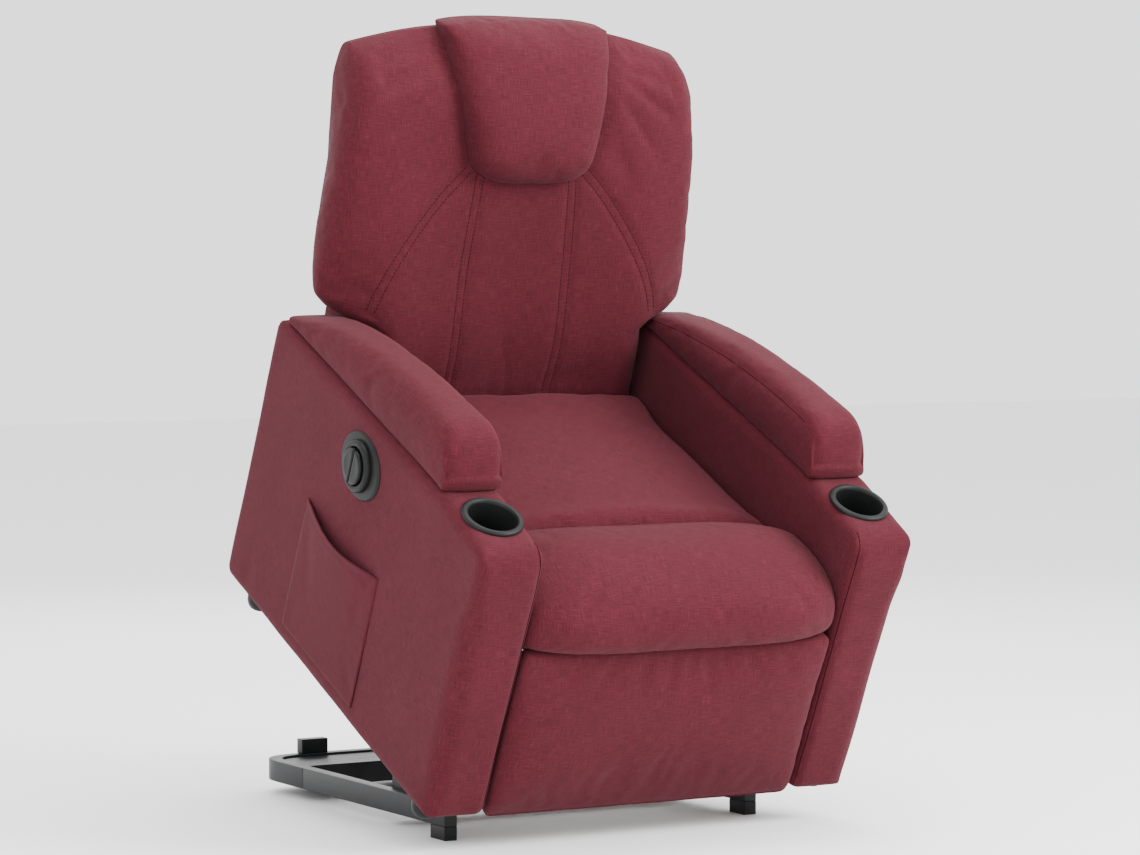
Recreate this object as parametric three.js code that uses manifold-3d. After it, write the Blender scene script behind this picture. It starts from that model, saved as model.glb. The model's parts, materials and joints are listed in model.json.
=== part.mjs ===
// Power lift recliner chair, shown fully raised and tipped forward.
// Units are millimetres, +Z up, the chair faces -Y, and its right arm is at -X.
// The origin is the centre of the whole object's footprint box, at floor level.

import * as THREE from "three";
import { mergeVertices } from "three/addons/utils/BufferGeometryUtils.js";
import Module from "manifold-3d";

const wasm = await Module();
wasm.setup();

// ---------------------------------------------------------------- driving dimensions

const GAP = 0.3; // air left between pieces that touch
const MERGE_DISTANCE = 0.01; // vertices closer than this are one
const TILT = THREE.MathUtils.degToRad(25.25); // forward tilt of the raised chair
const SIDES = { right: -1, left: 1 };

// Base frame, in floor coordinates before the footprint is centred.
const RAIL = { inner: 265, outer: 287, bottom: 22, top: 57, front: -307, back: 185 };
const BOW = { rear: 365, tube: 22, cornerRadius: 75 };
const TUBE_WALL = 2;
const TRAY = { front: 205, back: 342, halfWidth: 262, top: 53, sheet: 3 };

// The chair's own frame: y runs rearward from the arms' front face, z up from their lower edge.
const CHAIR_ORIGIN = { y: -424.5, z: 55.5 }; // where that frame sits when the chair is raised

const ARM = { inner: 277, outer: 385, length: 777, top: 470, frontTop: 452, wall: 8 };
const PAD = { inner: 279, outer: 380, front: 165, rear: 764 };
const CUP = { x: 329, y: 97, rim: 48.5, wall: 37, bore: 35, depth: 70 };
const DECK_SLOPE = Math.atan2(ARM.top - ARM.frontTop, 160);

const SEAT = { halfWidth: 273, front: 216, rear: 680, bottom: 250.5, crown: 377 };
const ROLL = { halfWidth: 273, noseCrown: 36, topCrown: 27 };
const FOOTREST = { halfWidth: 258, top: 274, bottom: -13, front: 2, boardFront: 30, boardBack: 44 };
const BACK = { lean: THREE.MathUtils.degToRad(6.84), footY: 790, footZ: 150, board: 18 };

// Lift linkage: pivots on the base in floor coordinates, pivots on the chair in its own frame.
const FRONT_PIVOT = { y: -228.157, z: 60 };
const FRONT_LINK = { length: 156.465, angle: THREE.MathUtils.degToRad(88.470), y: 250, z: 60 };
const REAR_PIVOT = { y: -120, z: 66 };
const REAR_LINK = { length: 346.578, angle: THREE.MathUtils.degToRad(64.530), y: 548.1, z: 99.1 };
const ACTUATOR = { y: 285, z: 80, length: 489.8, angle: THREE.MathUtils.degToRad(161.22) };
const LINK = { inner: 247, outer: 253, halfHeight: 13 };
const PIN_RADIUS = 5;

const BACK_PIVOT = { y: 715, z: 270 };
const FOOT_LINK = { y: 60, z: 160, length: 250 };

const CONTROL = { y: 406, z: 388 };
const POCKET = { front: 280, back: 546, bottom: 28, top: 257, proud: 13 };

// ---------------------------------------------------------------- materials

const finish = (color, roughness, metalness = 0) =>
  new THREE.MeshStandardMaterial({ color, roughness, metalness });

const FABRIC = finish(0x7d323e, 0.92);
const STEEL = finish(0x3c3d3f, 0.45, 0.6);
const PLASTIC = finish(0x1e2021, 0.5);
const PLYWOOD = finish(0xb98f5e, 0.75);
const CHROME = finish(0xc8cacc, 0.2, 1);
const WEBBING = finish(0x2b2a2c, 0.9);

// ---------------------------------------------------------------- geometry helpers

// Turns a section drawn in (y, z) and extruded along x into place.
const SECTION_TO_X = new THREE.Matrix4().makeBasis(
  new THREE.Vector3(0, 1, 0),
  new THREE.Vector3(0, 0, 1),
  new THREE.Vector3(1, 0, 0),
);

// Turns a face drawn in (x, z) and extruded along z into one that runs towards -y.
const FACE_TO_Y = new THREE.Matrix4().makeBasis(
  new THREE.Vector3(1, 0, 0),
  new THREE.Vector3(0, 0, 1),
  new THREE.Vector3(0, -1, 0),
);

const clamp01 = (value) => THREE.MathUtils.clamp(value, 0, 1);
const smooth = THREE.MathUtils.smoothstep;
const lerp = THREE.MathUtils.lerp;

function pointToward(corner, next, distance) {
  const along = new THREE.Vector2(next[0] - corner[0], next[1] - corner[1]).setLength(distance);
  return [corner[0] + along.x, corner[1] + along.y];
}

// A closed outline through [a, b, radius] corners, each rounded by its radius.
function roundedShape(corners) {
  const shape = new THREE.Shape();
  corners.forEach((corner, i) => {
    const before = corners[(i + corners.length - 1) % corners.length];
    const after = corners[(i + 1) % corners.length];
    const radius = corner[2] ?? 0;
    const start = radius ? pointToward(corner, before, radius) : corner;
    if (i === 0) shape.moveTo(start[0], start[1]);
    else shape.lineTo(start[0], start[1]);
    if (radius) {
      const end = pointToward(corner, after, radius);
      shape.quadraticCurveTo(corner[0], corner[1], end[0], end[1]);
    }
  });
  shape.closePath();
  return shape;
}

// A (y, z) outline extruded from x0 to x1, with its rim bevelled inside that width.
function slabX(shape, x0, x1, { bevel = 0, steps = 1, curveSegments = 4 } = {}) {
  const geometry = new THREE.ExtrudeGeometry(shape, {
    depth: x1 - x0 - 2 * bevel,
    steps,
    curveSegments,
    bevelEnabled: bevel > 0,
    bevelThickness: bevel,
    bevelSize: bevel,
    bevelOffset: -bevel,
    bevelSegments: 2,
  });
  return geometry.applyMatrix4(SECTION_TO_X).translate(x0 + bevel, 0, 0);
}

// An (x, z) outline extruded from y0 to y1.
function slabY(shape, y0, y1) {
  const geometry = new THREE.ExtrudeGeometry(shape, {
    depth: y1 - y0,
    curveSegments: 4,
    bevelEnabled: false,
  });
  return geometry.applyMatrix4(FACE_TO_Y).translate(0, y1, 0);
}

// An (x, y) outline extruded from z0 to z1.
function slabZ(shape, z0, z1, curveSegments) {
  const geometry = new THREE.ExtrudeGeometry(shape, {
    depth: z1 - z0,
    curveSegments,
    bevelEnabled: false,
  });
  return geometry.translate(0, 0, z0);
}

function block(x0, x1, y0, y1, z0, z1) {
  const geometry = new THREE.BoxGeometry(Math.abs(x1 - x0), y1 - y0, z1 - z0);
  return geometry.translate((x0 + x1) / 2, (y0 + y1) / 2, (z0 + z1) / 2);
}

function barX(x0, x1, y, z, radius, segments = 20) {
  const geometry = new THREE.CylinderGeometry(radius, radius, Math.abs(x1 - x0), segments);
  return geometry.rotateZ(Math.PI / 2).translate((x0 + x1) / 2, y, z);
}

// A block whose surface point (u, v, w), each from -1 to 1, is moved to place(u, v, w).
function softBlock(segments, place) {
  const geometry = new THREE.BoxGeometry(2, 2, 2, ...segments);
  const position = geometry.attributes.position;
  for (let i = 0; i < position.count; i += 1) {
    const point = place(position.getX(i), position.getY(i), position.getZ(i));
    position.setXYZ(i, ...point);
  }
  geometry.computeVertexNormals();
  return geometry;
}

// Pulls a cube's edges and corners part of the way to a sphere's: softness 0 keeps the cube.
function soften(u, v, w, softness) {
  const round = (a, b, c) => a * Math.sqrt(1 - b * b / 2 - c * c / 2 + (b * b * c * c) / 3);
  return [
    lerp(u, round(u, v, w), softness),
    lerp(v, round(v, w, u), softness),
    lerp(w, round(w, u, v), softness),
  ];
}

// ---------------------------------------------------------------- joining and cutting

function toSolid(geometry) {
  const bare = geometry.clone();
  bare.deleteAttribute("normal");
  bare.deleteAttribute("uv");
  const merged = mergeVertices(bare, MERGE_DISTANCE);
  return new wasm.Manifold(new wasm.Mesh({
    numProp: 3,
    vertProperties: new Float32Array(merged.attributes.position.array),
    triVerts: new Uint32Array(merged.index.array),
  }));
}

function toGeometry(solid) {
  const mesh = solid.getMesh();
  const geometry = new THREE.BufferGeometry();
  geometry.setAttribute("position", new THREE.BufferAttribute(mesh.vertProperties, 3));
  geometry.setIndex(new THREE.BufferAttribute(mesh.triVerts, 1));
  geometry.computeVertexNormals();
  return geometry;
}

const join = (...pieces) => toGeometry(pieces.map(toSolid).reduce((a, b) => a.add(b)));

const cut = (piece, ...tools) =>
  toGeometry(tools.map(toSolid).reduce((a, b) => a.subtract(b), toSolid(piece)));

// ---------------------------------------------------------------- scene graph

function put(group, name, geometry, material) {
  const mesh = new THREE.Mesh(geometry, material);
  mesh.name = name;
  group.add(mesh);
  return mesh;
}

// The x range from inner to outer on one side, lowest first.
const across = (side, inner, outer) => (side < 0 ? [-outer, -inner] : [inner, outer]);

// ---------------------------------------------------------------- base frame

function buildBase(group) {
  for (const [name, side] of Object.entries(SIDES)) {
    const railX = across(side, RAIL.inner, RAIL.outer);
    put(group, `base_rail_${name}`, boxRail(side), STEEL);
    put(group, `front_foot_${name}`,
      block(...railX, RAIL.front, -260, 0, RAIL.bottom - GAP), PLASTIC);
    put(group, `rear_foot_${name}`,
      block(...across(side, 170, 215), 268, 312, 0, TRAY.top - TRAY.sheet - GAP), PLASTIC);
    put(group, `stop_block_${name}`,
      block(...across(side, 160, 209), BOW.rear - 20, BOW.rear, RAIL.top + GAP, 82), STEEL);
    put(group, `pivot_plate_${name}`, pivotPlate(side), STEEL);
  }
  put(group, "base_rear_bow", rearBow(), STEEL);
  put(group, "base_rear_tray", rearTray(), STEEL);
  put(group, "base_cross_tube",
    block(-RAIL.inner + GAP, RAIL.inner - GAP, -86, -60, 24, 52), STEEL);
}

// The plate beside each rail that holds both links' lower pins.
function pivotPlate(side) {
  const [x0, x1] = across(side, 256, RAIL.inner - GAP);
  const outline = roundedShape([
    [-256, 24, 4], [-256, 76, 14], [-196, 76, 10], [-176, 60, 10],
    [-156, 60, 10], [-150, 82, 12], [-90, 82, 16], [-90, 24, 4],
  ]);
  const [pin0, pin1] = across(side, 245, 258);
  return join(
    slabX(outline, x0, x1),
    barX(pin0, pin1, FRONT_PIVOT.y, FRONT_PIVOT.z, PIN_RADIUS),
    barX(pin0, pin1, REAR_PIVOT.y, REAR_PIVOT.z, PIN_RADIUS),
  );
}

// A square rail, closed in front and open where the bow meets it.
function boxRail(side) {
  const tube = block(
    ...across(side, RAIL.inner, RAIL.outer), RAIL.front, RAIL.back, RAIL.bottom, RAIL.top,
  );
  const bore = block(
    ...across(side, RAIL.inner + TUBE_WALL, RAIL.outer - TUBE_WALL),
    RAIL.front + TUBE_WALL, RAIL.back + 1, RAIL.bottom + TUBE_WALL, RAIL.top - TUBE_WALL,
  );
  return cut(tube, bore);
}

// The outline of the bow, made thinner all round by inset.
function bowOutline(start, inset) {
  const outer = RAIL.outer - inset;
  const inner = RAIL.inner + inset;
  const rearOutside = BOW.rear - inset;
  const rearInside = BOW.rear - BOW.tube + inset;
  const cornerOutside = BOW.cornerRadius - inset;
  const cornerInside = BOW.cornerRadius - BOW.tube + inset;
  return roundedShape([
    [-outer, start], [-outer, rearOutside, cornerOutside],
    [outer, rearOutside, cornerOutside], [outer, start],
    [inner, start], [inner, rearInside, cornerInside],
    [-inner, rearInside, cornerInside], [-inner, start],
  ]);
}

// The U-shaped tube that closes the base at the rear.
function rearBow() {
  const start = RAIL.back + GAP;
  const tube = slabZ(bowOutline(start, 0), RAIL.bottom, RAIL.top, 8);
  const bore = slabZ(
    bowOutline(start - 1, TUBE_WALL), RAIL.bottom + TUBE_WALL, RAIL.top - TUBE_WALL, 8,
  );
  return cut(tube, bore);
}

// A shallow pressed tray inside the bow, with the actuator's clevis welded on it.
function rearTray() {
  const half = TRAY.halfWidth;
  const corner = BOW.cornerRadius - BOW.tube;
  const outline = (inset) => roundedShape([
    [-half + inset, TRAY.front + inset], [-half + inset, TRAY.back - inset, corner - inset],
    [half - inset, TRAY.back - inset, corner - inset], [half - inset, TRAY.front + inset],
  ]);
  const pressing = cut(
    slabZ(outline(0), 26, TRAY.top, 8),
    slabZ(outline(TRAY.sheet), 20, TRAY.top - TRAY.sheet, 8),
  );
  const flange = block(-half, half, TRAY.front, TRAY.front + TRAY.sheet, RAIL.bottom, RAIL.top);
  const cheek = roundedShape([
    [ACTUATOR.y - 20, TRAY.top - 2], [ACTUATOR.y - 14, 94, 12],
    [ACTUATOR.y + 14, 94, 12], [ACTUATOR.y + 20, TRAY.top - 2],
  ]);
  return join(
    pressing,
    flange,
    slabX(cheek, -19, -14),
    slabX(cheek, 14, 19),
    barX(-16, 16, ACTUATOR.y, ACTUATOR.z, PIN_RADIUS),
  );
}

// ---------------------------------------------------------------- lift linkage

// A flat bar along its own y from pin to pin, with an eye at each end.
function linkBar(length, nearHole, farHole) {
  const r = LINK.halfHeight;
  const shape = new THREE.Shape();
  shape.absarc(0, 0, r, Math.PI / 2, (3 * Math.PI) / 2, false);
  shape.absarc(length, 0, r, -Math.PI / 2, Math.PI / 2, false);
  shape.closePath();
  for (const [y, radius] of [[0, nearHole], [length, farHole]]) {
    const hole = new THREE.Path();
    hole.absarc(y, 0, radius, 0, 2 * Math.PI, true);
    shape.holes.push(hole);
  }
  return shape;
}

function buildLinks(group) {
  const running = PIN_RADIUS + GAP;
  const linkages = [
    { name: "front_link", pivot: FRONT_PIVOT, link: FRONT_LINK, far: running, tubeAt: 45 },
    { name: "rear_link", pivot: REAR_PIVOT, link: REAR_LINK, far: 9.8, tubeAt: 60 },
  ];
  for (const { name, pivot, link, far, tubeAt } of linkages) {
    const arm = new THREE.Group();
    arm.position.set(0, pivot.y, pivot.z);
    arm.rotation.x = link.angle;
    group.add(arm);
    for (const [sideName, side] of Object.entries(SIDES)) {
      const bar = slabX(
        linkBar(link.length, running, far),
        ...across(side, LINK.inner, LINK.outer),
        { curveSegments: 10 },
      );
      put(arm, `${name}_${sideName}`, bar, STEEL);
    }
    const reach = LINK.inner - GAP;
    put(arm, `${name}_tube`, barX(-reach, reach, tubeAt, 0, 11), STEEL);
  }
}

// A linear actuator along its own +y, from the clevis pin to the fork at its far end.
function buildActuator(group) {
  const unit = new THREE.Group();
  unit.position.set(0, ACTUATOR.y, ACTUATOR.z);
  unit.rotation.x = ACTUATOR.angle;
  group.add(unit);

  const boreFrom = 66;
  const tubeEnd = 276;
  const tubeStart = 40;
  const tubeProfile = [
    [0, tubeStart], [17, tubeStart], [17, tubeEnd], [11.5, tubeEnd], [11.5, boreFrom], [0, boreFrom],
  ].map(([r, y]) => new THREE.Vector2(r, y));
  put(unit, "actuator_tube", new THREE.LatheGeometry(tubeProfile, 24), STEEL);

  const eye = cut(
    join(barX(-12, 12, 0, 0, 11), block(-12, 12, 0, tubeStart - GAP, -9, 9)),
    barX(-14, 14, 0, 0, PIN_RADIUS + GAP),
  );
  const gearbox = block(-24, 24, 18, tubeStart - GAP, -40, 21);
  const motorCan = new THREE.CylinderGeometry(20, 20, 96, 20).translate(0, 78, -46);
  const motorFoot = block(-20, 20, 24, tubeStart - GAP, -66, -30);
  put(unit, "actuator_motor", join(eye, gearbox, motorFoot, motorCan), PLASTIC);

  const rodStart = 240;
  const forkStart = ACTUATOR.length - 38;
  const rod = new THREE.CylinderGeometry(9.5, 9.5, forkStart - rodStart, 20)
    .translate(0, (forkStart + rodStart) / 2, 0);
  const fork = cut(
    block(-11, 11, forkStart - 2, ACTUATOR.length + 12, -12, 12),
    block(-4, 4, forkStart + 8, ACTUATOR.length + 20, -14, 14),
  );
  put(unit, "actuator_rod", join(rod, fork), CHROME);
}

// ---------------------------------------------------------------- chair structure

// The pressed side plate that carries the seat, with the two links' upper pins.
function liftPlate(side) {
  const outline = roundedShape([
    [100, 150, 10], [205, 45, 14], [290, 42, 14], [345, 92, 14], [505, 92, 12], [528, 76, 8],
    [570, 76, 12], [610, 118, 12], [660, 150, 10], [660, 215, 3], [100, 215, 3],
  ]);
  const [pin0, pin1] = across(side, 241, 255);
  return join(
    slabX(outline, ...across(side, 238, 244)),
    barX(pin0, pin1, FRONT_LINK.y, FRONT_LINK.z, PIN_RADIUS),
    barX(pin0, pin1, REAR_LINK.y, REAR_LINK.z, PIN_RADIUS),
  );
}

function buildSeatStructure(chair) {
  const tubeReach = 238 - GAP;
  for (const [name, side] of Object.entries(SIDES)) {
    put(chair, `lift_plate_${name}`, liftPlate(side), STEEL);
    put(chair, `back_hinge_${name}`, backHinge(side), STEEL);
  }
  put(chair, "cross_tube", barX(-tubeReach, tubeReach, 322, 116, 12), STEEL);
  const lug = roundedShape([[288, 50, 8], [288, 90, 6], [312, 103], [332, 103], [314, 50, 8]]);
  put(chair, "actuator_lug", slabX(lug, -3, 3), STEEL);

  const railReach = ARM.inner - 2 * GAP;
  const railBottom = 215 + GAP;
  const railTop = SEAT.bottom - 2 * GAP;
  put(chair, "seat_rail_front", block(-railReach, railReach, 120, 150, railBottom, railTop), PLYWOOD);
  put(chair, "seat_rail_rear", block(-railReach, railReach, 628, 658, railBottom, railTop), PLYWOOD);
  put(chair, "seat_suspension",
    block(-262, 262, 150 + GAP, 628 - GAP, 240, railTop), WEBBING);
  const socket = block(-98, -70, 540, 562, 168, 190);
  put(chair, "control_box", cut(block(-150, -50, 430, 552, 152, 215 - GAP), socket), PLASTIC);
}

// A bracket behind the rear rail that holds the back's hinge pin.
function backHinge(side) {
  const outline = roundedShape([
    [658 + GAP, 190, 4], [658 + GAP, 246, 4], [688, 246, 6], [702, 282, 10],
    [727, 282, 11], [727, 258, 11], [690, 190, 8],
  ]);
  const [pin0, pin1] = across(side, 248, 258);
  return join(
    slabX(outline, ...across(side, 256, 262)),
    barX(pin0, pin1, BACK_PIVOT.y, BACK_PIVOT.z, PIN_RADIUS),
  );
}

// ---------------------------------------------------------------- arms

// The padded, upholstered arm: a hollow shell, open underneath, with the cup's hole in its deck.
function armCover(side) {
  const outline = roundedShape([
    [0, 0, 16], [ARM.length, 0, 24], [ARM.length, ARM.top, 30], [160, ARM.top], [0, ARM.frontTop, 24],
  ]);
  const shell = slabX(outline, ...across(side, ARM.inner, ARM.outer), { bevel: 6, curveSegments: 5 });
  const hollowX = across(side, ARM.inner + ARM.wall, ARM.outer - ARM.wall);
  const hollow = block(...hollowX, 12, ARM.length - 12, -20, 438);
  return cut(shell, hollow, deckTool(side, CUP.wall + 1.5));
}

// A plug at the cup's place, square to the sloping deck.
function deckTool(side, radius) {
  return new THREE.CylinderGeometry(radius, radius, 160, 28)
    .rotateX(Math.PI / 2 + DECK_SLOPE)
    .translate(side * CUP.x, CUP.y, deckHeight(CUP.y));
}

const deckHeight = (y) => lerp(ARM.frontTop, ARM.top, clamp01(y / 160));

// The timber inside an arm: a side panel and a bottom board joined to it.
function armFrame(side) {
  const inner = ARM.inner + ARM.wall + GAP;
  const panel = block(...across(side, inner, inner + 6), 14, ARM.length - 14, 0.5, 436);
  const board = block(...across(side, inner, ARM.outer - ARM.wall - GAP), 14, ARM.length - 14, 0.5, 12);
  return join(panel, board);
}

// Height of the arm pad above the deck: a steep front, then a long fall to the rear.
function padHeight(y) {
  const rise = Math.sqrt(clamp01((y - 150) / 70));
  const fall = 1 - clamp01((y - 225) / 560) ** 2.2;
  return 92 * rise * fall;
}

// The curved pad that lies on the arm.
function armPad(side) {
  const middle = (side * (PAD.inner + PAD.outer)) / 2;
  const half = (PAD.outer - PAD.inner) / 2;
  return softBlock([4, 16, 3], (u, v, w) => {
    const y = lerp(PAD.front, PAD.rear, (v + 1) / 2);
    const top = padHeight(y) * (1 - 0.13 * u ** 4);
    const pinch = 1 - 0.08 * clamp01(w) ** 2;
    return [middle + u * half * pinch, y, ARM.top + GAP + (top * (w + 1)) / 2];
  });
}

// A round cup well with a wide rolled rim, its axis square to the deck.
function cupHolder() {
  const profile = [
    [0, -CUP.depth - 3], [CUP.wall - 2, -CUP.depth - 3], [CUP.wall, -CUP.depth], [CUP.wall, GAP],
    [CUP.rim, GAP], [CUP.rim, 3], [CUP.rim - 5, 6.5], [CUP.bore + 4, 6.5], [CUP.bore, 3],
    [CUP.bore - 1.5, -CUP.depth], [0, -CUP.depth],
  ].map(([r, z]) => new THREE.Vector2(r, z));
  return new THREE.LatheGeometry(profile, 28).rotateX(Math.PI / 2);
}

const GLIDE_X = 354;

// A black domed glide under an arm.
function glide() {
  const profile = [[0, -30], [10, -30], [17, -26], [21, -16], [22, -GAP], [0, -GAP]]
    .map(([r, z]) => new THREE.Vector2(r, z));
  return new THREE.LatheGeometry(profile, 20).rotateX(Math.PI / 2);
}

function buildArms(chair) {
  for (const [name, side] of Object.entries(SIDES)) {
    put(chair, `arm_cover_${name}`, armCover(side), FABRIC);
    put(chair, `arm_frame_${name}`, armFrame(side), PLYWOOD);
    put(chair, `arm_pad_${name}`, armPad(side), FABRIC);
    const cup = put(chair, `cup_holder_${name}`, cupHolder(), PLASTIC);
    cup.position.set(side * CUP.x, CUP.y, deckHeight(CUP.y));
    cup.rotation.x = DECK_SLOPE;
    for (const [end, y] of [["front", 56], ["rear", 690]]) {
      const foot = put(chair, `glide_${end}_${name}`, glide(), PLASTIC);
      foot.position.set(side * GLIDE_X, y, 0);
    }
  }
}

// ---------------------------------------------------------------- right arm's fittings

// An open-topped pocket: a front panel with sides and a bottom that stand on the arm.
function sidePocket() {
  const face = -ARM.outer - GAP;
  const outer = -ARM.outer - POCKET.proud;
  const panel = block(outer, face, POCKET.front, POCKET.back, POCKET.bottom, POCKET.top);
  const space = block(
    outer + 4, face + 5, POCKET.front + 5, POCKET.back - 5, POCKET.bottom + 5, POCKET.top + 10,
  );
  return cut(panel, space);
}

function buildControl(chair) {
  const plate = new THREE.Shape();
  plate.absellipse(CONTROL.y, CONTROL.z, 65.5, 52, 0, 2 * Math.PI, false);
  const face = -ARM.outer;
  put(chair, "control_plate", slabX(plate, face - 5, face - GAP, { curveSegments: 20 }), PLASTIC);

  const profile = [
    [0, 5 + GAP], [42, 5 + GAP], [42, 19], [38.5, 24], [31, 24], [31, 14], [0, 14],
  ].map(([r, x]) => new THREE.Vector2(r, x));
  const housing = put(chair, "control_housing", new THREE.LatheGeometry(profile, 32), PLASTIC);
  housing.position.set(face, CONTROL.y, CONTROL.z);
  housing.rotation.z = Math.PI / 2;

  for (const [name, start] of [["button_raise", Math.PI / 2], ["button_recline", -Math.PI / 2]]) {
    const half = new THREE.Shape();
    half.absarc(0, 0, 28.5, start + 0.04, start + Math.PI - 0.04, false);
    half.closePath();
    const button = put(chair, name, slabX(half, -27, -18, { curveSegments: 12 }), PLASTIC);
    button.position.set(face, CONTROL.y, CONTROL.z);
  }
}

// ---------------------------------------------------------------- seat

function seatCushion() {
  return softBlock([10, 8, 3], (u, v, w) => {
    const [a, b, c] = soften(u, v, w, 0.14);
    const crown = 24 * (1 - a * a) * (1 - b ** 4) * clamp01(c);
    const top = SEAT.crown - 24;
    return [
      a * SEAT.halfWidth,
      lerp(SEAT.front, SEAT.rear, (b + 1) / 2),
      lerp(SEAT.bottom, top, (c + 1) / 2) + crown,
    ];
  });
}

// The rounded front of the seat: one section along x, fuller towards the middle.
function seatRoll() {
  const nose = roundedShape([
    [SEAT.front - 2, 252, 4], [SEAT.front - 2, 360, 10], [160, 373, 20], [86, 370, 30],
    [30, 346, 25], [6, 310, 16], [3, 281, 8], [52, 281, 5], [62, 252, 5],
  ]);
  const roll = slabX(nose, -ROLL.halfWidth, ROLL.halfWidth, { steps: 12, curveSegments: 3 });
  const position = roll.attributes.position;
  for (let i = 0; i < position.count; i += 1) {
    const x = position.getX(i);
    const y = position.getY(i);
    const z = position.getZ(i);
    const fullness = (1 - (x / ROLL.halfWidth) ** 4) ** 0.8;
    const forward = clamp01((110 - y) / 104) * smooth(z, 281, 325);
    const upward = clamp01((z - 281) / 85) * (1 - 0.6 * clamp01((y - 130) / 80));
    position.setXYZ(i, x, y - ROLL.noseCrown * fullness * forward, z + ROLL.topCrown * fullness * upward);
  }
  roll.computeVertexNormals();
  return roll;
}

function buildSeat(chair) {
  put(chair, "seat_cushion", seatCushion(), FABRIC);
  put(chair, "seat_front_roll", seatRoll(), FABRIC);
}

// ---------------------------------------------------------------- footrest

function buildFootrest(chair) {
  put(chair, "footrest_cushion", footrestCushion(), FABRIC);
  const lug = roundedShape([
    [FOOTREST.boardBack - 2, FOOT_LINK.z - 20, 3], [FOOT_LINK.y + 10, FOOT_LINK.z - 12, 8],
    [FOOT_LINK.y + 10, FOOT_LINK.z + 12, 8], [FOOTREST.boardBack - 2, FOOT_LINK.z + 20, 3],
  ]);
  const pieces = [block(-242, 242, FOOTREST.boardFront, FOOTREST.boardBack, -4, 262)];
  for (const side of Object.values(SIDES)) {
    pieces.push(slabX(lug, ...across(side, 223, 229)));
    pieces.push(barX(...across(side, 213, 226), FOOT_LINK.y, FOOT_LINK.z, PIN_RADIUS));
  }
  put(chair, "footrest_board", join(...pieces), PLYWOOD);

  for (const [name, side] of Object.entries(SIDES)) {
    const bar = slabX(
      linkBar(FOOT_LINK.length, PIN_RADIUS + GAP, PIN_RADIUS),
      ...across(side, 215, 221),
      { curveSegments: 8 },
    );
    const link = put(chair, `footrest_link_${name}`, bar, STEEL);
    link.position.set(0, FOOT_LINK.y, FOOT_LINK.z);
  }
}

function footrestCushion() {
  const { halfWidth, top, bottom, front, boardFront } = FOOTREST;
  return softBlock([10, 2, 10], (u, v, w) => {
    const [a, , c] = soften(u, v, w, 0.05);
    const z = lerp(bottom, top, (c + 1) / 2);
    const swell = 14 * Math.sin(Math.PI * clamp01((z - 20) / 250));
    const tuck = 16 * clamp01((20 - z) / 33) ** 2 + 8 * a ** 8;
    const face = front - swell + tuck;
    return [a * halfWidth, lerp(face, boardFront - GAP, (v + 1) / 2), z];
  });
}

// ---------------------------------------------------------------- back

const BACK_TOP = 795; // height of the back's top above its lower edge, along the board

// Half the back's width at a height along the board: narrow between the arms, wide above them.
function backHalfWidth(height) {
  const body = lerp(268, 344, smooth(height, 318, 376));
  const taper = 20 * smooth(height, 420, 730);
  const shoulder = 1 - 0.16 * clamp01((height - 690) / (BACK_TOP - 690)) ** 3;
  return (body - taper) * shoulder;
}

// How much the back's wings are drawn in at their rear.
function wingTaper(height) {
  return lerp(0.15, 0.05, smooth(height, 400, 700));
}

// Height of the back's arched top edge, from its middle (0) to its corners (1).
function backTop(u) {
  return BACK_TOP - 40 * Math.abs(u) ** 2.6;
}

// How far the cushion stands in front of the board.
function backThickness(height) {
  const s = clamp01((height - 140) / (BACK_TOP - 140));
  return 122 - 14 * s - 88 * s ** 7;
}

function backCushion() {
  return softBlock([12, 2, 18], (u, v, w) => {
    const height = lerp(140, backTop(u), (w + 1) / 2);
    const depth = backThickness(height) * (1 - 0.5 * Math.abs(u) ** 7);
    const half = backHalfWidth(height) * (1 - wingTaper(height) * (v + 1) / 2);
    return [u * half, lerp(-depth, -0.5, (v + 1) / 2), height];
  });
}

function headPillow() {
  const raw = softBlock([10, 3, 10], (u, v, w) => {
    const [a, b, c] = soften(u, v, w, 0.22);
    const height = lerp(572, BACK_TOP + 8, (c + 1) / 2);
    const width = lerp(97, 166, (c + 1) / 2);
    const rear = -backThickness(height) + 24;
    const face = -backThickness(Math.min(height, 730)) - 44 + 46 * smooth(height, 700, BACK_TOP + 8);
    return [a * width, lerp(face, rear, (b + 1) / 2), height];
  });
  return cut(raw, backCushion().translate(0, -GAP, 0), backCushion().translate(0, 0, GAP));
}

function backRearPanel() {
  const front = BACK.board + GAP;
  return softBlock([10, 2, 14], (u, v, w) => {
    const height = lerp(8, backTop(u) - 8, (w + 1) / 2);
    const depth = 28 * (1 - 0.5 * Math.abs(u) ** 7) * (1 - 0.4 * w ** 8);
    const half = (backHalfWidth(height) - 5) * (1 - wingTaper(height));
    return [u * half, lerp(front, front + depth, (v + 1) / 2), height];
  });
}

// The plywood back board with a hinge strap at each lower corner.
function backBoard(toBoardFrame) {
  const outline = roundedShape([
    [-250, 0, 6], [250, 0, 6], [250, 360, 20], [274, 410, 20],
    [274, 736, 50], [-274, 736, 50], [-274, 410, 20], [-250, 360, 20],
  ]);
  const run = BACK.footY - 2 - BACK_PIVOT.y;
  const drop = 70;
  const straps = Object.values(SIDES).map((side) => {
    const strap = slabX(
      linkBar(Math.hypot(run, drop), PIN_RADIUS + GAP, PIN_RADIUS),
      ...across(side, 248.5, 254.5),
      { curveSegments: 8 },
    );
    strap.rotateX(-Math.atan2(drop, run));
    strap.translate(0, BACK_PIVOT.y, BACK_PIVOT.z);
    return strap.applyMatrix4(toBoardFrame);
  });
  const shoes = Object.values(SIDES).map((side) =>
    block(...across(side, 244, 256), -2, BACK.board, 30, 76));
  return join(slabY(outline, 0, BACK.board), ...straps, ...shoes);
}

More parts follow.
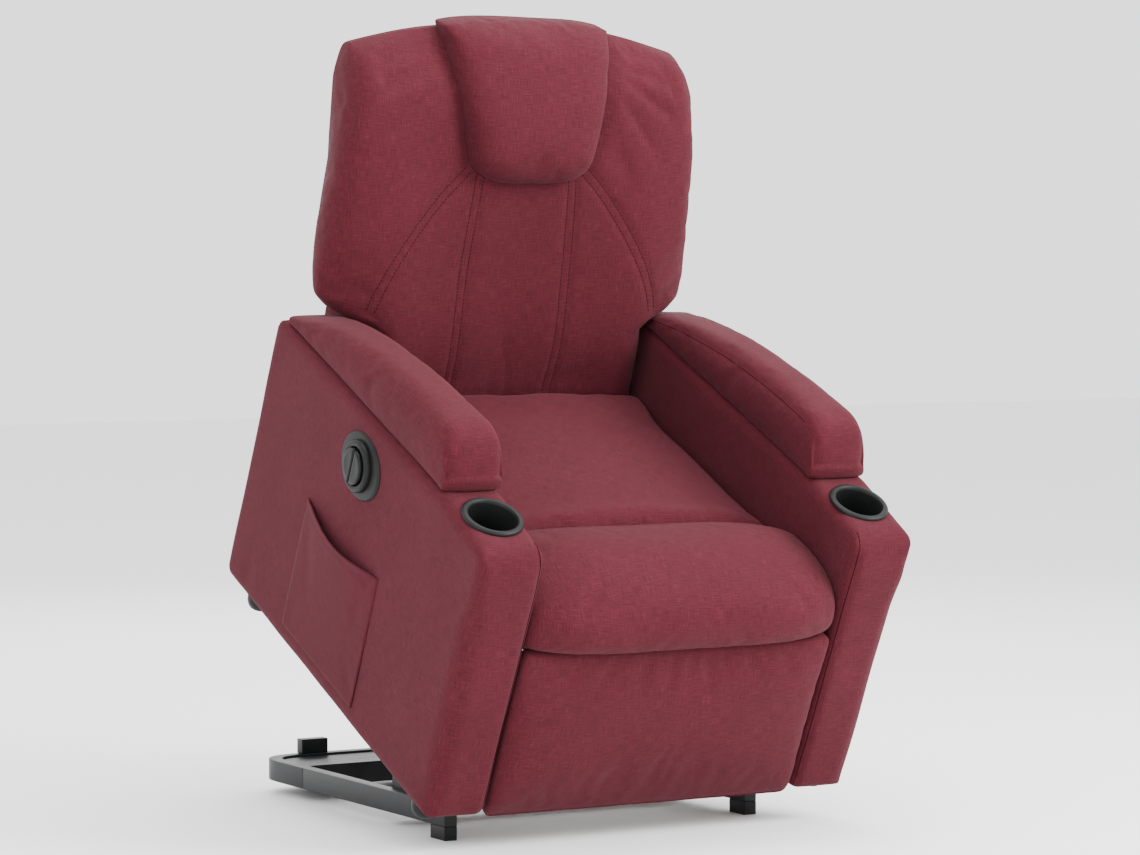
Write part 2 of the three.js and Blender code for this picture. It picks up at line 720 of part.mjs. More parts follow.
function buildBack(chair) {
  const back = new THREE.Group();
  back.position.set(0, BACK.footY, BACK.footZ);
  back.rotation.x = -BACK.lean;
  back.updateMatrix();
  chair.add(back);
  put(back, "back_board", backBoard(back.matrix.clone().invert()), PLYWOOD);
  put(back, "back_cushion", backCushion(), FABRIC);
  put(back, "head_pillow", headPillow(), FABRIC);
  put(back, "back_rear_panel", backRearPanel(), FABRIC);
}

// ---------------------------------------------------------------- whole chair

function buildModel() {
  const model = new THREE.Group();
  buildBase(model);
  buildLinks(model);
  buildActuator(model);

  const chair = new THREE.Group();
  chair.position.set(0, CHAIR_ORIGIN.y, CHAIR_ORIGIN.z);
  chair.rotation.x = TILT;
  model.add(chair);
  buildSeatStructure(chair);
  buildArms(chair);
  put(chair, "side_pocket", sidePocket(), FABRIC);
  buildControl(chair);
  buildSeat(chair);
  buildFootrest(chair);
  buildBack(chair);

  model.updateMatrixWorld(true);
  const box = new THREE.Box3().setFromObject(model, true);
  model.position.set(-(box.min.x + box.max.x) / 2, -(box.min.y + box.max.y) / 2, 0);
  model.updateMatrixWorld(true);
  return model;
}

export default buildModel();
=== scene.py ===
"""Power lift recliner, raised and tipped forward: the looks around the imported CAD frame.

Soft pieces are drawn in millimetres in the chair's own frame (x to its left, y rearward from the
arms' front, z up from their lower edge) or in the back board's frame, and then put in the row frame.
"""
import json
import math

import bmesh
import bpy
import numpy as np
from mathutils import Matrix, Vector
from mathutils.bvhtree import BVHTree


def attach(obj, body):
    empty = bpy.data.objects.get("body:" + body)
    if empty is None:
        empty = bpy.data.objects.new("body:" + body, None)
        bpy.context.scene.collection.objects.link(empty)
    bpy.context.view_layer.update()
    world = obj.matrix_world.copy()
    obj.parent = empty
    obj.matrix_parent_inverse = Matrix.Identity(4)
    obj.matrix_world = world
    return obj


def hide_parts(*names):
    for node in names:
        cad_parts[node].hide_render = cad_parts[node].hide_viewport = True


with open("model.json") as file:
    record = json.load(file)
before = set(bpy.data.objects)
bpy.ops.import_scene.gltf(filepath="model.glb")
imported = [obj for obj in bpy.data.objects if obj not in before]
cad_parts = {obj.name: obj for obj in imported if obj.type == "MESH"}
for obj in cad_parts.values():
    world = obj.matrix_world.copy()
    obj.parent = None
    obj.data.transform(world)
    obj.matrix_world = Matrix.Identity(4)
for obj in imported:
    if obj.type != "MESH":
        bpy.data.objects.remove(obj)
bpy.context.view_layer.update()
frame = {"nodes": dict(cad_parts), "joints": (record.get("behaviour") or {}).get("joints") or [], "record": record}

# ---------------------------------------------------------------- frames and sizes

MM = 0.001
JOINTS = {joint["name"]: joint for joint in frame["joints"]}
RATIOS = {c["joint"]: c["ratio"] for c in frame["record"]["behaviour"]["couplings"]}

CHAIR_PIVOT = Vector((0, 250, 60))  # where chair_tilt turns, in the chair's frame
BOARD_FOOT = Vector((0, 790, 150))  # lower edge of the back board, in the chair's frame
BOARD_LEAN = math.radians(6.84)

tilt = math.radians(JOINTS["lift_swing"]["range_deg"][1]) * (1 + RATIOS["chair_tilt"])
CHAIR = (
    Matrix.Translation(JOINTS["chair_tilt"]["pos_m"])
    @ Matrix.Rotation(tilt, 4, "X")
    @ Matrix.Scale(MM, 4)
    @ Matrix.Translation(-CHAIR_PIVOT)
)
BOARD = CHAIR @ Matrix.Translation(BOARD_FOOT) @ Matrix.Rotation(-BOARD_LEAN, 4, "X")

ARM_INNER = 277
ARM_OUTER = 385
ARM_LENGTH = 777
DECK_TOP = 470
DECK_FRONT = 452
DECK_BEND = 160
ARM_BOTTOM = -7
ARM_ROUNDING = {"edges": 20, "front_top": 42, "rear_top": 32, "outer_front": 34, "outer_front_top": 12}
PAD = {"inner": 277.5, "outer": 380.5, "front": 163, "rear": 744, "height": 92}
SEAT = {"half": 277, "front": 214, "rear": 684, "bottom": 252, "top": 352}
FOOTREST = {"half": 275, "front": -1, "rear": 29.6, "bottom": -13, "top": 279}
POCKET = {"front": 280.0, "back": 546.0, "bottom": 28.0, "top": 257.0}
CUP = {"x": 329, "y": 97, "hole": 40.5}
CONTROL = {"y": 406, "z": 388}
GLIDE = {"x": 354, "front": 56, "rear": 690}
BACK_TOP = 795
PILLOW_LOW = 560
STITCH_SPREAD = 7.0  # half the distance between the back's twin rows of stitches
# Half widths of the back at heights up its board: neck, wing corner, side, shoulder.
BACK_HEIGHTS = (0, 312, 326, 342, 360, 400, 500, 600, 690, 730, 757, 776, 795)
BACK_WIDTHS = (268, 269, 292, 326, 345, 350, 344, 337, 327, 321, 312, 302, 282)
SIDES = {"right": -1, "left": 1}


# ---------------------------------------------------------------- small maths

def lerp(a, b, t):
    return a + (b - a) * t


def smooth(x, low, high):
    t = np.clip((x - low) / (high - low), 0, 1)
    return t * t * (3 - 2 * t)


def furrows(a, b, lines):
    """Depth at points (a, b) of soft furrows, each (start, end, half width, depth)."""
    depth = np.zeros_like(a)
    for (a0, b0), (a1, b1), width, deep in lines:
        da, db = a1 - a0, b1 - b0
        t = np.clip(((a - a0) * da + (b - b0) * db) / (da * da + db * db), 0, 1)
        away = np.hypot(a - (a0 + t * da), b - (b0 + t * db))
        taper = np.sqrt(np.sin(math.pi * np.clip(t, 0.04, 0.96)))
        depth += deep * np.exp(-((away / width) ** 2)) * taper
    return depth


def path_depth(points, path, width, deep):
    """Depth at 3-D points of one groove that runs along a path."""
    nearest = np.full(len(points), 1e9)
    for start, end in zip(path[:-1], path[1:]):
        along = end - start
        t = np.clip((points - start) @ along / max(along @ along, 1e-9), 0, 1)
        nearest = np.minimum(nearest, np.linalg.norm(points - (start + t[:, None] * along), axis=1))
    return deep * np.exp(-((nearest / width) ** 2))


def ripple(points, size, height, seed):
    """Gentle unevenness made of a few crossed waves about size apart."""
    rng = np.random.default_rng(seed)
    total = np.zeros(len(points))
    for _ in range(7):
        direction = rng.normal(size=3)
        direction /= np.linalg.norm(direction)
        wave = size * rng.uniform(0.6, 1.7)
        total += np.sin(points @ direction * (2 * math.pi / wave) + rng.uniform(0, 2 * math.pi))
    return total * height / 7


def bezier(corners, count):
    """Points along a smooth curve through the corners (Catmull-Rom)."""
    c = np.array(corners, float)
    c = np.vstack([2 * c[0] - c[1], c, 2 * c[-1] - c[-2]])
    out = []
    for i in range(1, len(c) - 2):
        t = np.linspace(0, 1, count, endpoint=False)[:, None]
        p0, p1, p2, p3 = c[i - 1], c[i], c[i + 1], c[i + 2]
        out.append(0.5 * (2 * p1 + (p2 - p0) * t + (2 * p0 - 5 * p1 + 4 * p2 - p3) * t ** 2
                          + (3 * p1 - p0 - 3 * p2 + p3) * t ** 3))
    out.append(c[-2][None])
    return np.vstack(out)


# ---------------------------------------------------------------- meshes

def lattice(nx, ny, nz):
    """Surface points of a cube from -1 to 1, divided nx by ny by nz, and its quads."""
    index = {}
    points = []

    def at(i, j, k):
        if (i, j, k) not in index:
            index[(i, j, k)] = len(points)
            points.append((2 * i / nx - 1, 2 * j / ny - 1, 2 * k / nz - 1))
        return index[(i, j, k)]

    faces = []
    for i in range(nx):
        for j in range(ny):
            faces.append((at(i, j, 0), at(i, j + 1, 0), at(i + 1, j + 1, 0), at(i + 1, j, 0)))
            faces.append((at(i, j, nz), at(i + 1, j, nz), at(i + 1, j + 1, nz), at(i, j + 1, nz)))
    for i in range(nx):
        for k in range(nz):
            faces.append((at(i, 0, k), at(i + 1, 0, k), at(i + 1, 0, k + 1), at(i, 0, k + 1)))
            faces.append((at(i, ny, k), at(i, ny, k + 1), at(i + 1, ny, k + 1), at(i + 1, ny, k)))
    for j in range(ny):
        for k in range(nz):
            faces.append((at(0, j, k), at(0, j, k + 1), at(0, j + 1, k + 1), at(0, j + 1, k)))
            faces.append((at(nx, j, k), at(nx, j + 1, k), at(nx, j + 1, k + 1), at(nx, j, k + 1)))
    return np.array(points), faces


def round_box(points, low, high, radius):
    """Puts a cube's surface points on a box from low to high with round edges."""
    low, high = np.array(low, float), np.array(high, float)
    middle, half = (low + high) / 2, (high - low) / 2
    on_box = points * half
    core = np.clip(on_box, -(half - radius), half - radius)
    away = on_box - core
    away *= radius / np.maximum(np.linalg.norm(away, axis=1, keepdims=True), 1e-9)
    return middle + core + away


def round_corner(at, corner, inward, radius):
    """Points in a plane, with those outside a corner's rounding pulled onto it."""
    centre = np.array(corner) + np.array(inward) * radius
    off = at - centre
    reach = np.linalg.norm(off, axis=1, keepdims=True)
    beyond = (off * inward < 0).all(axis=1, keepdims=True) & (reach > radius)
    return np.where(beyond, centre + off * radius / np.maximum(reach, 1), at)


def new_object(name, points, faces, material):
    mesh = bpy.data.meshes.new(name)
    mesh.from_pydata(np.asarray(points).tolist(), [], faces)
    mesh.materials.append(material)
    mesh.validate()
    mesh.shade_smooth()
    obj = bpy.data.objects.new(name, mesh)
    bpy.context.scene.collection.objects.link(obj)
    return obj


def read_vectors(items, key):
    flat = np.empty(len(items) * 3)
    items.foreach_get(key, flat)
    return flat.reshape(-1, 3)


def read_points(obj):
    return read_vectors(obj.data.vertices, "co")


def write_points(obj, points):
    obj.data.vertices.foreach_set("co", np.ascontiguousarray(points).ravel())
    obj.data.update()


def press_in(obj, details):
    """Presses a piece's seams and creases into it: details gives each point's depth."""
    points = read_points(obj) / MM
    normals = read_vectors(obj.data.vertices, "normal")
    write_points(obj, (points - normals * details(points)[:, None]) * MM)


def cloth_uv(obj):
    """A flat cloth coordinate in metres on each face, seen along the axis that it faces most."""
    mesh = obj.data
    layer = mesh.uv_layers.new(name="cloth")
    points = read_points(obj)
    axis = np.abs(read_vectors(mesh.polygons, "normal") * (1.0, 1.15, 1.0)).argmax(axis=1)
    totals = np.empty(len(mesh.polygons), int)
    mesh.polygons.foreach_get("loop_total", totals)
    corner = np.empty(len(mesh.loops), int)
    mesh.loops.foreach_get("vertex_index", corner)
    loop_axis = np.repeat(axis, totals)
    across = np.where(loop_axis == 0, 1, 0)
    along = np.where(loop_axis == 2, 1, 2)
    at = points[corner]
    uv = np.stack([at[np.arange(len(at)), across], at[np.arange(len(at)), along]], axis=1)
    layer.data.foreach_set("uv", uv.ravel())


def settle(obj, held, pressure, growth, cap, frames=12):
    """Cloth simulation of the cover: it fills out and creases, each point moving cap at most."""
    start = read_points(obj)
    group = obj.vertex_groups.new(name="held")
    group.add([int(i) for i in np.flatnonzero(held)], 1.0, "REPLACE")
    cloth = obj.modifiers.new("cover", "CLOTH")
    settings = cloth.settings
    settings.quality = 4
    settings.mass = 0.25
    settings.tension_stiffness = 18
    settings.compression_stiffness = 12
    settings.shear_stiffness = 8
    settings.bending_stiffness = 0.35
    settings.use_pressure = True
    settings.uniform_pressure_force = pressure
    settings.shrink_min = -growth
    settings.effector_weights.gravity = 0
    settings.vertex_group_mass = group.name
    cloth.collision_settings.use_collision = False
    cloth.point_cache.frame_end = frames
    scene = bpy.context.scene
    for number in range(1, frames + 1):
        scene.frame_set(number)
    graph = bpy.context.evaluated_depsgraph_get()
    result = obj.evaluated_get(graph).to_mesh()
    settled = read_vectors(result.vertices, "co")
    obj.evaluated_get(graph).to_mesh_clear()
    obj.modifiers.remove(cloth)
    obj.vertex_groups.remove(group)
    scene.frame_set(1)
    moved = settled - start
    length = np.maximum(np.linalg.norm(moved, axis=1, keepdims=True), 1e-9)
    write_points(obj, start + moved * (cap * np.tanh(length / cap) / length))


def dress(obj, where, nodes, body="chair", fill=0.7, smoothed=True):
    """Gives a padded piece its cloth coordinates, its place and its part in the object."""
    cloth_uv(obj)
    obj.data.transform(where @ Matrix.Scale(1 / MM, 4))
    if smoothed:
        fine = obj.modifiers.new("fine", "SUBSURF")
        fine.levels = fine.render_levels = 1
    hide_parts(*nodes)
    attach(obj, body)
    return obj


def shaped(name, divisions, place, side=1):
    """A padded piece's first shape, and the cube that it was made from."""
    cube, faces = lattice(*divisions)
    if side < 0:
        faces = [face[::-1] for face in faces]
    return new_object(name, place(cube) * MM, faces, FABRIC), cube


def soft_piece(name, divisions, place, where, nodes, details, cover, side=1, **finish):
    """A padded piece: its shape, its cloth simulation, its seams and creases, then its place."""
    obj, cube = shaped(name, divisions, place, side)
    settle(obj, **cover(cube, read_points(obj) / MM))
    press_in(obj, details)
    return dress(obj, where, nodes, **finish)


def surface_of(obj):
    """The finished surface of a piece, for laying seams on."""
    bpy.context.view_layer.update()
    return BVHTree.FromObject(obj, bpy.context.evaluated_depsgraph_get())


def lay_on(surface, path, where, toward, lift=0.0):
    """Points of a path pushed along a direction onto a surface, with the surface's normals."""
    direction = (where.to_3x3() @ Vector(toward)).normalized()
    out = []
    for point in path:
        origin = where @ Vector(point) - direction * 0.15
        hit, normal, _, _ = surface.ray_cast(origin, direction, 0.4)
        if hit is None:
            hit, normal, _, _ = surface.find_nearest(where @ Vector(point))
        out.append((hit + normal * lift, normal))
    return out


def ring_about(bm, middle, across, up, radius, sides):
    angles = (2 * math.pi * k / sides for k in range(sides))
    return [bm.verts.new(middle + (across * math.cos(a) + up * math.sin(a)) * radius) for a in angles]


def loft(bm, rings, capped=True):
    """Joins each ring of vertices to the next; a ring may be one point, repeated."""
    for first, second in zip(rings[:-1], rings[1:]):
        for k in range(len(first)):
            after = (k + 1) % len(first)
            corners = list(dict.fromkeys((first[k], first[after], second[after], second[k])))
            if len(corners) > 2:
                bm.faces.new(corners)
    if capped:
        bm.faces.new(rings[0])
        bm.faces.new(rings[-1])


def seam_shade_tube(name, laid, radius, body):
    """A thin closed tube along laid points, as dark as the stitching: painted shade along a seam's valley."""
    bm = bmesh.new()
    rings = []
    for i, (point, normal) in enumerate(laid):
        before = laid[max(i - 1, 0)][0]
        after = laid[min(i + 1, len(laid) - 1)][0]
        along = (after - before).normalized()
        across = along.cross(normal).normalized()
        rings.append(ring_about(bm, point, across, across.cross(along), radius, 6))
    loft(bm, rings)
    return finish_bmesh(name, bm, THREAD_AND_SEAM_SHADE, body)


def finish_bmesh(name, bm, material, body, nodes=()):
    """Makes a piece of a closed bmesh, its faces turned outward."""
    bmesh.ops.recalc_face_normals(bm, faces=bm.faces)
    mesh = bpy.data.meshes.new(name)
    bm.to_mesh(mesh)
    bm.free()
    mesh.materials.append(material)
    mesh.shade_smooth()
    obj = bpy.data.objects.new(name, mesh)
    bpy.context.scene.collection.objects.link(obj)
    if nodes:
        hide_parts(*nodes)
    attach(obj, body)
    return obj


def stitches(name, laid, body, length=0.0042, gap=0.0022, radius=0.00055):
    """A row of separate stitches: short bars that dive into the cloth at both ends."""
    spots = [point for point, _ in laid]
    steps = [0.0]
    for a, b in zip(spots[:-1], spots[1:]):
        steps.append(steps[-1] + (b - a).length)
    bm = bmesh.new()
    position = gap
    while position + length < steps[-1]:
        ends = [point_at(laid, steps, position + length * f) for f in (0.0, 0.25, 0.75, 1.0)]
        heights = (-0.0004, radius * 0.9, radius * 0.9, -0.0004)
        add_stitch(bm, ends, heights, radius)
        position += length + gap
    return finish_bmesh(name, bm, THREAD_AND_SEAM_SHADE, body)


def point_at(laid, steps, distance):
    """The point and normal at a distance along laid points."""
    i = min(int(np.searchsorted(steps, distance)), len(steps) - 1)
    span = max(steps[i] - steps[i - 1], 1e-9)
    t = (distance - steps[i - 1]) / span
    return laid[i - 1][0].lerp(laid[i][0], t), laid[i - 1][1].lerp(laid[i][1], t)


def add_stitch(bm, ends, heights, radius):
    along = (ends[-1][0] - ends[0][0]).normalized()
    rings = []
    for (point, normal), height in zip(ends, heights):
        across = along.cross(normal).normalized()
        rings.append(ring_about(bm, point + normal * height, across, normal, radius, 4))
    loft(bm, rings)


# ---------------------------------------------------------------- materials

def new_material(name):
    material = bpy.data.materials.new(name)
    material.use_nodes = True
    nodes = material.node_tree.nodes
    return material, nodes, material.node_tree.links, nodes["Principled BSDF"]


def object_position(nodes):
    return nodes.new("ShaderNodeTexCoord").outputs["Object"]


def stretched_noise(nodes, links, source, scale, detail=2.0):
    mapping = nodes.new("ShaderNodeMapping")
    mapping.inputs["Scale"].default_value = scale
    links.new(source, mapping.inputs["Vector"])
    noise = nodes.new("ShaderNodeTexNoise")
    noise.inputs["Scale"].default_value = 1.0
    noise.inputs["Detail"].default_value = detail
    links.new(mapping.outputs["Vector"], noise.inputs["Vector"])
    return noise.outputs["Fac"]


def combine(nodes, links, operation, a, b):
    """A maths node on two values, each a socket or a number."""
    node = nodes.new("ShaderNodeMath")
    node.operation = operation
    for socket, value in zip(node.inputs, (a, b)):
        if isinstance(value, (int, float)):
            socket.default_value = value
        else:
            links.new(value, socket)
    return node.outputs["Value"]


def colour_ramp(nodes, links, factor, stops):
    ramp = nodes.new("ShaderNodeValToRGB")
    elements = ramp.color_ramp.elements
    while len(elements) < len(stops):
        elements.new(0.5)
    for element, (position, colour) in zip(elements, stops):
        element.position = position
        element.color = (*colour, 1)
    links.new(factor, ramp.inputs["Fac"])
    return ramp.outputs["Color"]


def add_bump(nodes, links, shader, height, strength, distance):
    bump = nodes.new("ShaderNodeBump")
    bump.inputs["Strength"].default_value = strength
    bump.inputs["Distance"].default_value = distance
    links.new(height, bump.inputs["Height"])
    links.new(bump.outputs["Normal"], shader.inputs["Normal"])


def fabric_material():
    """Wine red linen-look weave: slubs along both threads, a fine weave and a slight sheen."""
    material, nodes, links, shader = new_material("wine_linen")
    uv = nodes.new("ShaderNodeUVMap")
    uv.uv_map = "cloth"
    cloth = uv.outputs["UV"]
    warp = stretched_noise(nodes, links, cloth, (1000, 50, 1))
    weft = stretched_noise(nodes, links, cloth, (45, 900, 1))
    grain = stretched_noise(nodes, links, cloth, (1300, 1300, 1), detail=2)
    patch = stretched_noise(nodes, links, cloth, (7, 7, 1), detail=3)
    slubs = combine(nodes, links, "ADD", warp, weft)
    fine = combine(nodes, links, "MULTIPLY", grain, 0.7)
    broad = combine(nodes, links, "MULTIPLY", patch, 0.25)
    total = combine(nodes, links, "ADD", combine(nodes, links, "ADD", slubs, fine), broad)
    tone = combine(nodes, links, "MULTIPLY", total, 0.51)
    colour = colour_ramp(nodes, links, tone, [
        (0.50, (0.033, 0.0037, 0.0068)),
        (0.72, (0.055, 0.0070, 0.0120)),
        (0.94, (0.086, 0.0125, 0.0205)),
    ])
    links.new(colour, shader.inputs["Base Color"])
    separate = nodes.new("ShaderNodeSeparateXYZ")
    links.new(cloth, separate.inputs["Vector"])
    threads_per_metre = 950 * 2 * math.pi  # as an angle, one turn to a thread
    waves = []
    for axis in ("X", "Y"):
        turns = combine(nodes, links, "MULTIPLY", separate.outputs[axis], threads_per_metre)
        waves.append(combine(nodes, links, "SINE", turns, 0))
    weave = combine(nodes, links, "MULTIPLY", *waves)
    height = combine(nodes, links, "ADD", combine(nodes, links, "MULTIPLY", weave, 0.35), slubs)
    add_bump(nodes, links, shader, height, 0.45, 0.0005)
    shader.inputs["Roughness"].default_value = 0.88
    shader.inputs["Sheen Weight"].default_value = 0.05
    shader.inputs["Sheen Roughness"].default_value = 0.45
    shader.inputs["Sheen Tint"].default_value = (1.0, 0.62, 0.68, 1)
    shader.inputs["Specular IOR Level"].default_value = 0.10
    return material


# Dark colour: the stitch bars' own colour, and on the thin seam tubes of the arms and pads it is painted shade for
# the shadow in each seam's valley.
def thread_and_seam_shade_material():
    material, nodes, links, shader = new_material("thread_and_painted_seam_shade")
    where = object_position(nodes)
    twist = stretched_noise(nodes, links, where, (1800, 1800, 1800))
    colour = colour_ramp(nodes, links, twist, [
        (0.3, (0.012, 0.0014, 0.0026)), (0.7, (0.034, 0.0036, 0.0066)),
    ])
    links.new(colour, shader.inputs["Base Color"])
    add_bump(nodes, links, shader, twist, 0.4, 0.0003)
    shader.inputs["Roughness"].default_value = 0.8
    shader.inputs["Specular IOR Level"].default_value = 0.05
    return material


def coated_material(name, dark, light, roughness, metallic, grain, relief):
    """A sprayed or moulded finish: fine grain in its surface and a little colour variation."""
    material, nodes, links, shader = new_material(name)
    where = object_position(nodes)
    fine = stretched_noise(nodes, links, where, (grain,) * 3, detail=3)
    broad = stretched_noise(nodes, links, where, (14, 14, 14), detail=4)
    mixed = combine(nodes, links, "ADD", combine(nodes, links, "MULTIPLY", fine, 0.4),
                    combine(nodes, links, "MULTIPLY", broad, 0.6))
    links.new(colour_ramp(nodes, links, mixed, [(0.35, dark), (0.68, light)]),
              shader.inputs["Base Color"])
    gloss = nodes.new("ShaderNodeMapRange")
    gloss.inputs["To Min"].default_value = roughness - 0.06
    gloss.inputs["To Max"].default_value = roughness + 0.08
    links.new(broad, gloss.inputs["Value"])
    links.new(gloss.outputs["Result"], shader.inputs["Roughness"])
    add_bump(nodes, links, shader, fine, relief, 0.0004)
    shader.inputs["Metallic"].default_value = metallic
    shader.inputs["Specular IOR Level"].default_value = 0.15
    return material


def plywood_material():
    material, nodes, links, shader = new_material("plywood")
    where = object_position(nodes)
    fibres = stretched_noise(nodes, links, where, (160, 6, 30), detail=6)
    plies = stretched_noise(nodes, links, where, (9, 9, 420), detail=1)
    tone = combine(nodes, links, "ADD", combine(nodes, links, "MULTIPLY", fibres, 0.75),
                   combine(nodes, links, "MULTIPLY", plies, 0.25))
    links.new(colour_ramp(nodes, links, tone, [
        (0.35, (0.28, 0.16, 0.07)), (0.65, (0.50, 0.33, 0.17)),
    ]), shader.inputs["Base Color"])
    add_bump(nodes, links, shader, fibres, 0.3, 0.0006)
    shader.inputs["Roughness"].default_value = 0.72
    return material


def webbing_material():
    material, nodes, links, shader = new_material("webbing")
    where = object_position(nodes)
    ribs = stretched_noise(nodes, links, where, (700, 40, 700), detail=1)
    links.new(colour_ramp(nodes, links, ribs, [
        (0.35, (0.010, 0.010, 0.011)), (0.7, (0.040, 0.040, 0.042)),
    ]), shader.inputs["Base Color"])
    add_bump(nodes, links, shader, ribs, 0.6, 0.0008)
    shader.inputs["Roughness"].default_value = 0.9
    return material


FABRIC = fabric_material()
THREAD_AND_SEAM_SHADE = thread_and_seam_shade_material()
STEEL = coated_material("grey_powder_coat", (0.011, 0.0115, 0.0125), (0.024, 0.025, 0.0265),
                        0.42, 0.15, 900, 0.22)
PLASTIC = coated_material("black_plastic", (0.005, 0.0055, 0.0055), (0.010, 0.0105, 0.0105),
                          0.44, 0.0, 1500, 0.18)
GLOSSY = coated_material("button_plastic", (0.004, 0.0045, 0.0045), (0.008, 0.0085, 0.0085),
                         0.34, 0.0, 900, 0.06)
CHROME = coated_material("polished_rod", (0.55, 0.55, 0.57), (0.70, 0.70, 0.72),
                         0.16, 1.0, 300, 0.03)
PLYWOOD = plywood_material()
WEBBING = webbing_material()


# ---------------------------------------------------------------- arms

def deck_height(y):
    return lerp(DECK_FRONT, DECK_TOP, np.clip(y / DECK_BEND, 0, 1))


def make_arm(name, side):
    def place(cube):
        radius = ARM_ROUNDING
        p = round_box(cube, (ARM_INNER, 0, ARM_BOTTOM), (ARM_OUTER, ARM_LENGTH, DECK_TOP), radius["edges"])
        p[:, [1, 2]] = round_corner(p[:, [1, 2]], (0, DECK_TOP), (1, -1), radius["front_top"])
        p[:, [1, 2]] = round_corner(p[:, [1, 2]], (ARM_LENGTH, DECK_TOP), (-1, -1), radius["rear_top"])
        upward = smooth(p[:, 2:3], DECK_TOP - 150, DECK_TOP - 30)
        edge = lerp(radius["outer_front"], radius["outer_front_top"], upward)
        p[:, [0, 1]] = round_corner(p[:, [0, 1]], (ARM_OUTER, 0), (-1, 1), edge)
        lean = 1 - (DECK_TOP - deck_height(p[:, 1])) / DECK_TOP
        p[:, 2] *= lerp(1, lean, smooth(p[:, 2], 0, DECK_TOP))
        middle = (ARM_INNER + ARM_OUTER) / 2
        belly = 2.5 * np.sin(math.pi * np.clip(p[:, 1] / ARM_LENGTH, 0, 1)) * smooth(p[:, 2], 30, 220)
        p[:, 0] += (p[:, 0] > middle) * belly * 0.6
        p[:, 0] *= side
        return p

    def details(p):
        x, y, z = np.abs(p[:, 0]), p[:, 1], p[:, 2]
        outer = smooth(x, ARM_OUTER - 25, ARM_OUTER - 3)
        depth = ripple(p, 190, 1.5, 11 + side)
        lip = path_depth(p * (side, 1, 1), inner_front_seam(), 4.5, 2.6)
        rear = path_depth(p * (side, 1, 1), rear_seam(), 4.0, 1.8)
        tucks = furrows(y, z, [((20, 0), (40, 60), 16, 2.0), ((700, 4), (690, 70), 18, 2.0),
                               ((752, 380), (700, 440), 20, 1.6)])
        front = smooth(-y, -22, -4)
        folds = furrows(x, z, [((300, 40), (360, 24), 10, 1.6), ((372, 400), (330, 440), 12, 1.8),
                               ((288, 300), (296, 380), 9, 1.2)])
        return depth + lip + rear + tucks * outer + folds * front

    obj, _ = shaped(f"arm_{name}", (16, 84, 52), place, side)
    press_in(obj, details)
    cut_cup_hole(obj, side)
    return dress(obj, CHAIR, [f"arm_cover_{name}"], fill=0.9, smoothed=False)


def inner_front_seam():
    """The seam down the arm's front, beside its inner edge, as points at x > 0."""
    return np.array([(284, 1, 6), (284, 0, 200), (284, 0, 400), (285, 4, 436), (286, 14, 452)], float)


def rear_seam():
    """The seam down the arm's rear, beside its outer edge."""
    return np.array([(378, 776, 8), (378, 777, 240), (378, 777, 440)], float)


def cup_place(side):
    """Where a cup well stands in the chair's frame, square to the sloping deck."""
    slope = math.atan2(DECK_TOP - DECK_FRONT, DECK_BEND)
    spot = Vector((side * CUP["x"], CUP["y"], deck_height(CUP["y"])))
    return Matrix.Translation(spot) @ Matrix.Rotation(slope, 4, "X")


def cut_cup_hole(obj, side):
    """Cuts the round hole that the cup well drops into."""
    bm = bmesh.new()
    bmesh.ops.create_cone(bm, cap_ends=True, segments=48, radius1=CUP["hole"], radius2=CUP["hole"],
                          depth=160)
    cutter = bpy.data.meshes.new("cutter")
    bm.to_mesh(cutter)
    bm.free()
    tool = bpy.data.objects.new("cutter", cutter)
    cutter.transform(Matrix.Scale(MM, 4) @ cup_place(side))
    bpy.context.scene.collection.objects.link(tool)
    hole = obj.modifiers.new("hole", "BOOLEAN")
    hole.operation = "DIFFERENCE"
    hole.solver = "EXACT"
    hole.object = tool
    graph = bpy.context.evaluated_depsgraph_get()
    mesh = bpy.data.meshes.new_from_object(obj.evaluated_get(graph))
    obj.modifiers.remove(hole)
    obj.data = mesh
    mesh.shade_smooth()
    bpy.data.objects.remove(tool)


def pad_height(y):
    """The pad's height along the arm: a steep rounded nose, then a long fall to the rear."""
    rise = np.sqrt(np.clip(1 - (1 - np.clip((y - 160) / 74, 0, 1)) ** 2.1, 0, 1))
    fall = 1 - np.clip((y - 225) / 560, 0, 1) ** 2.2
    return PAD["height"] * rise * fall


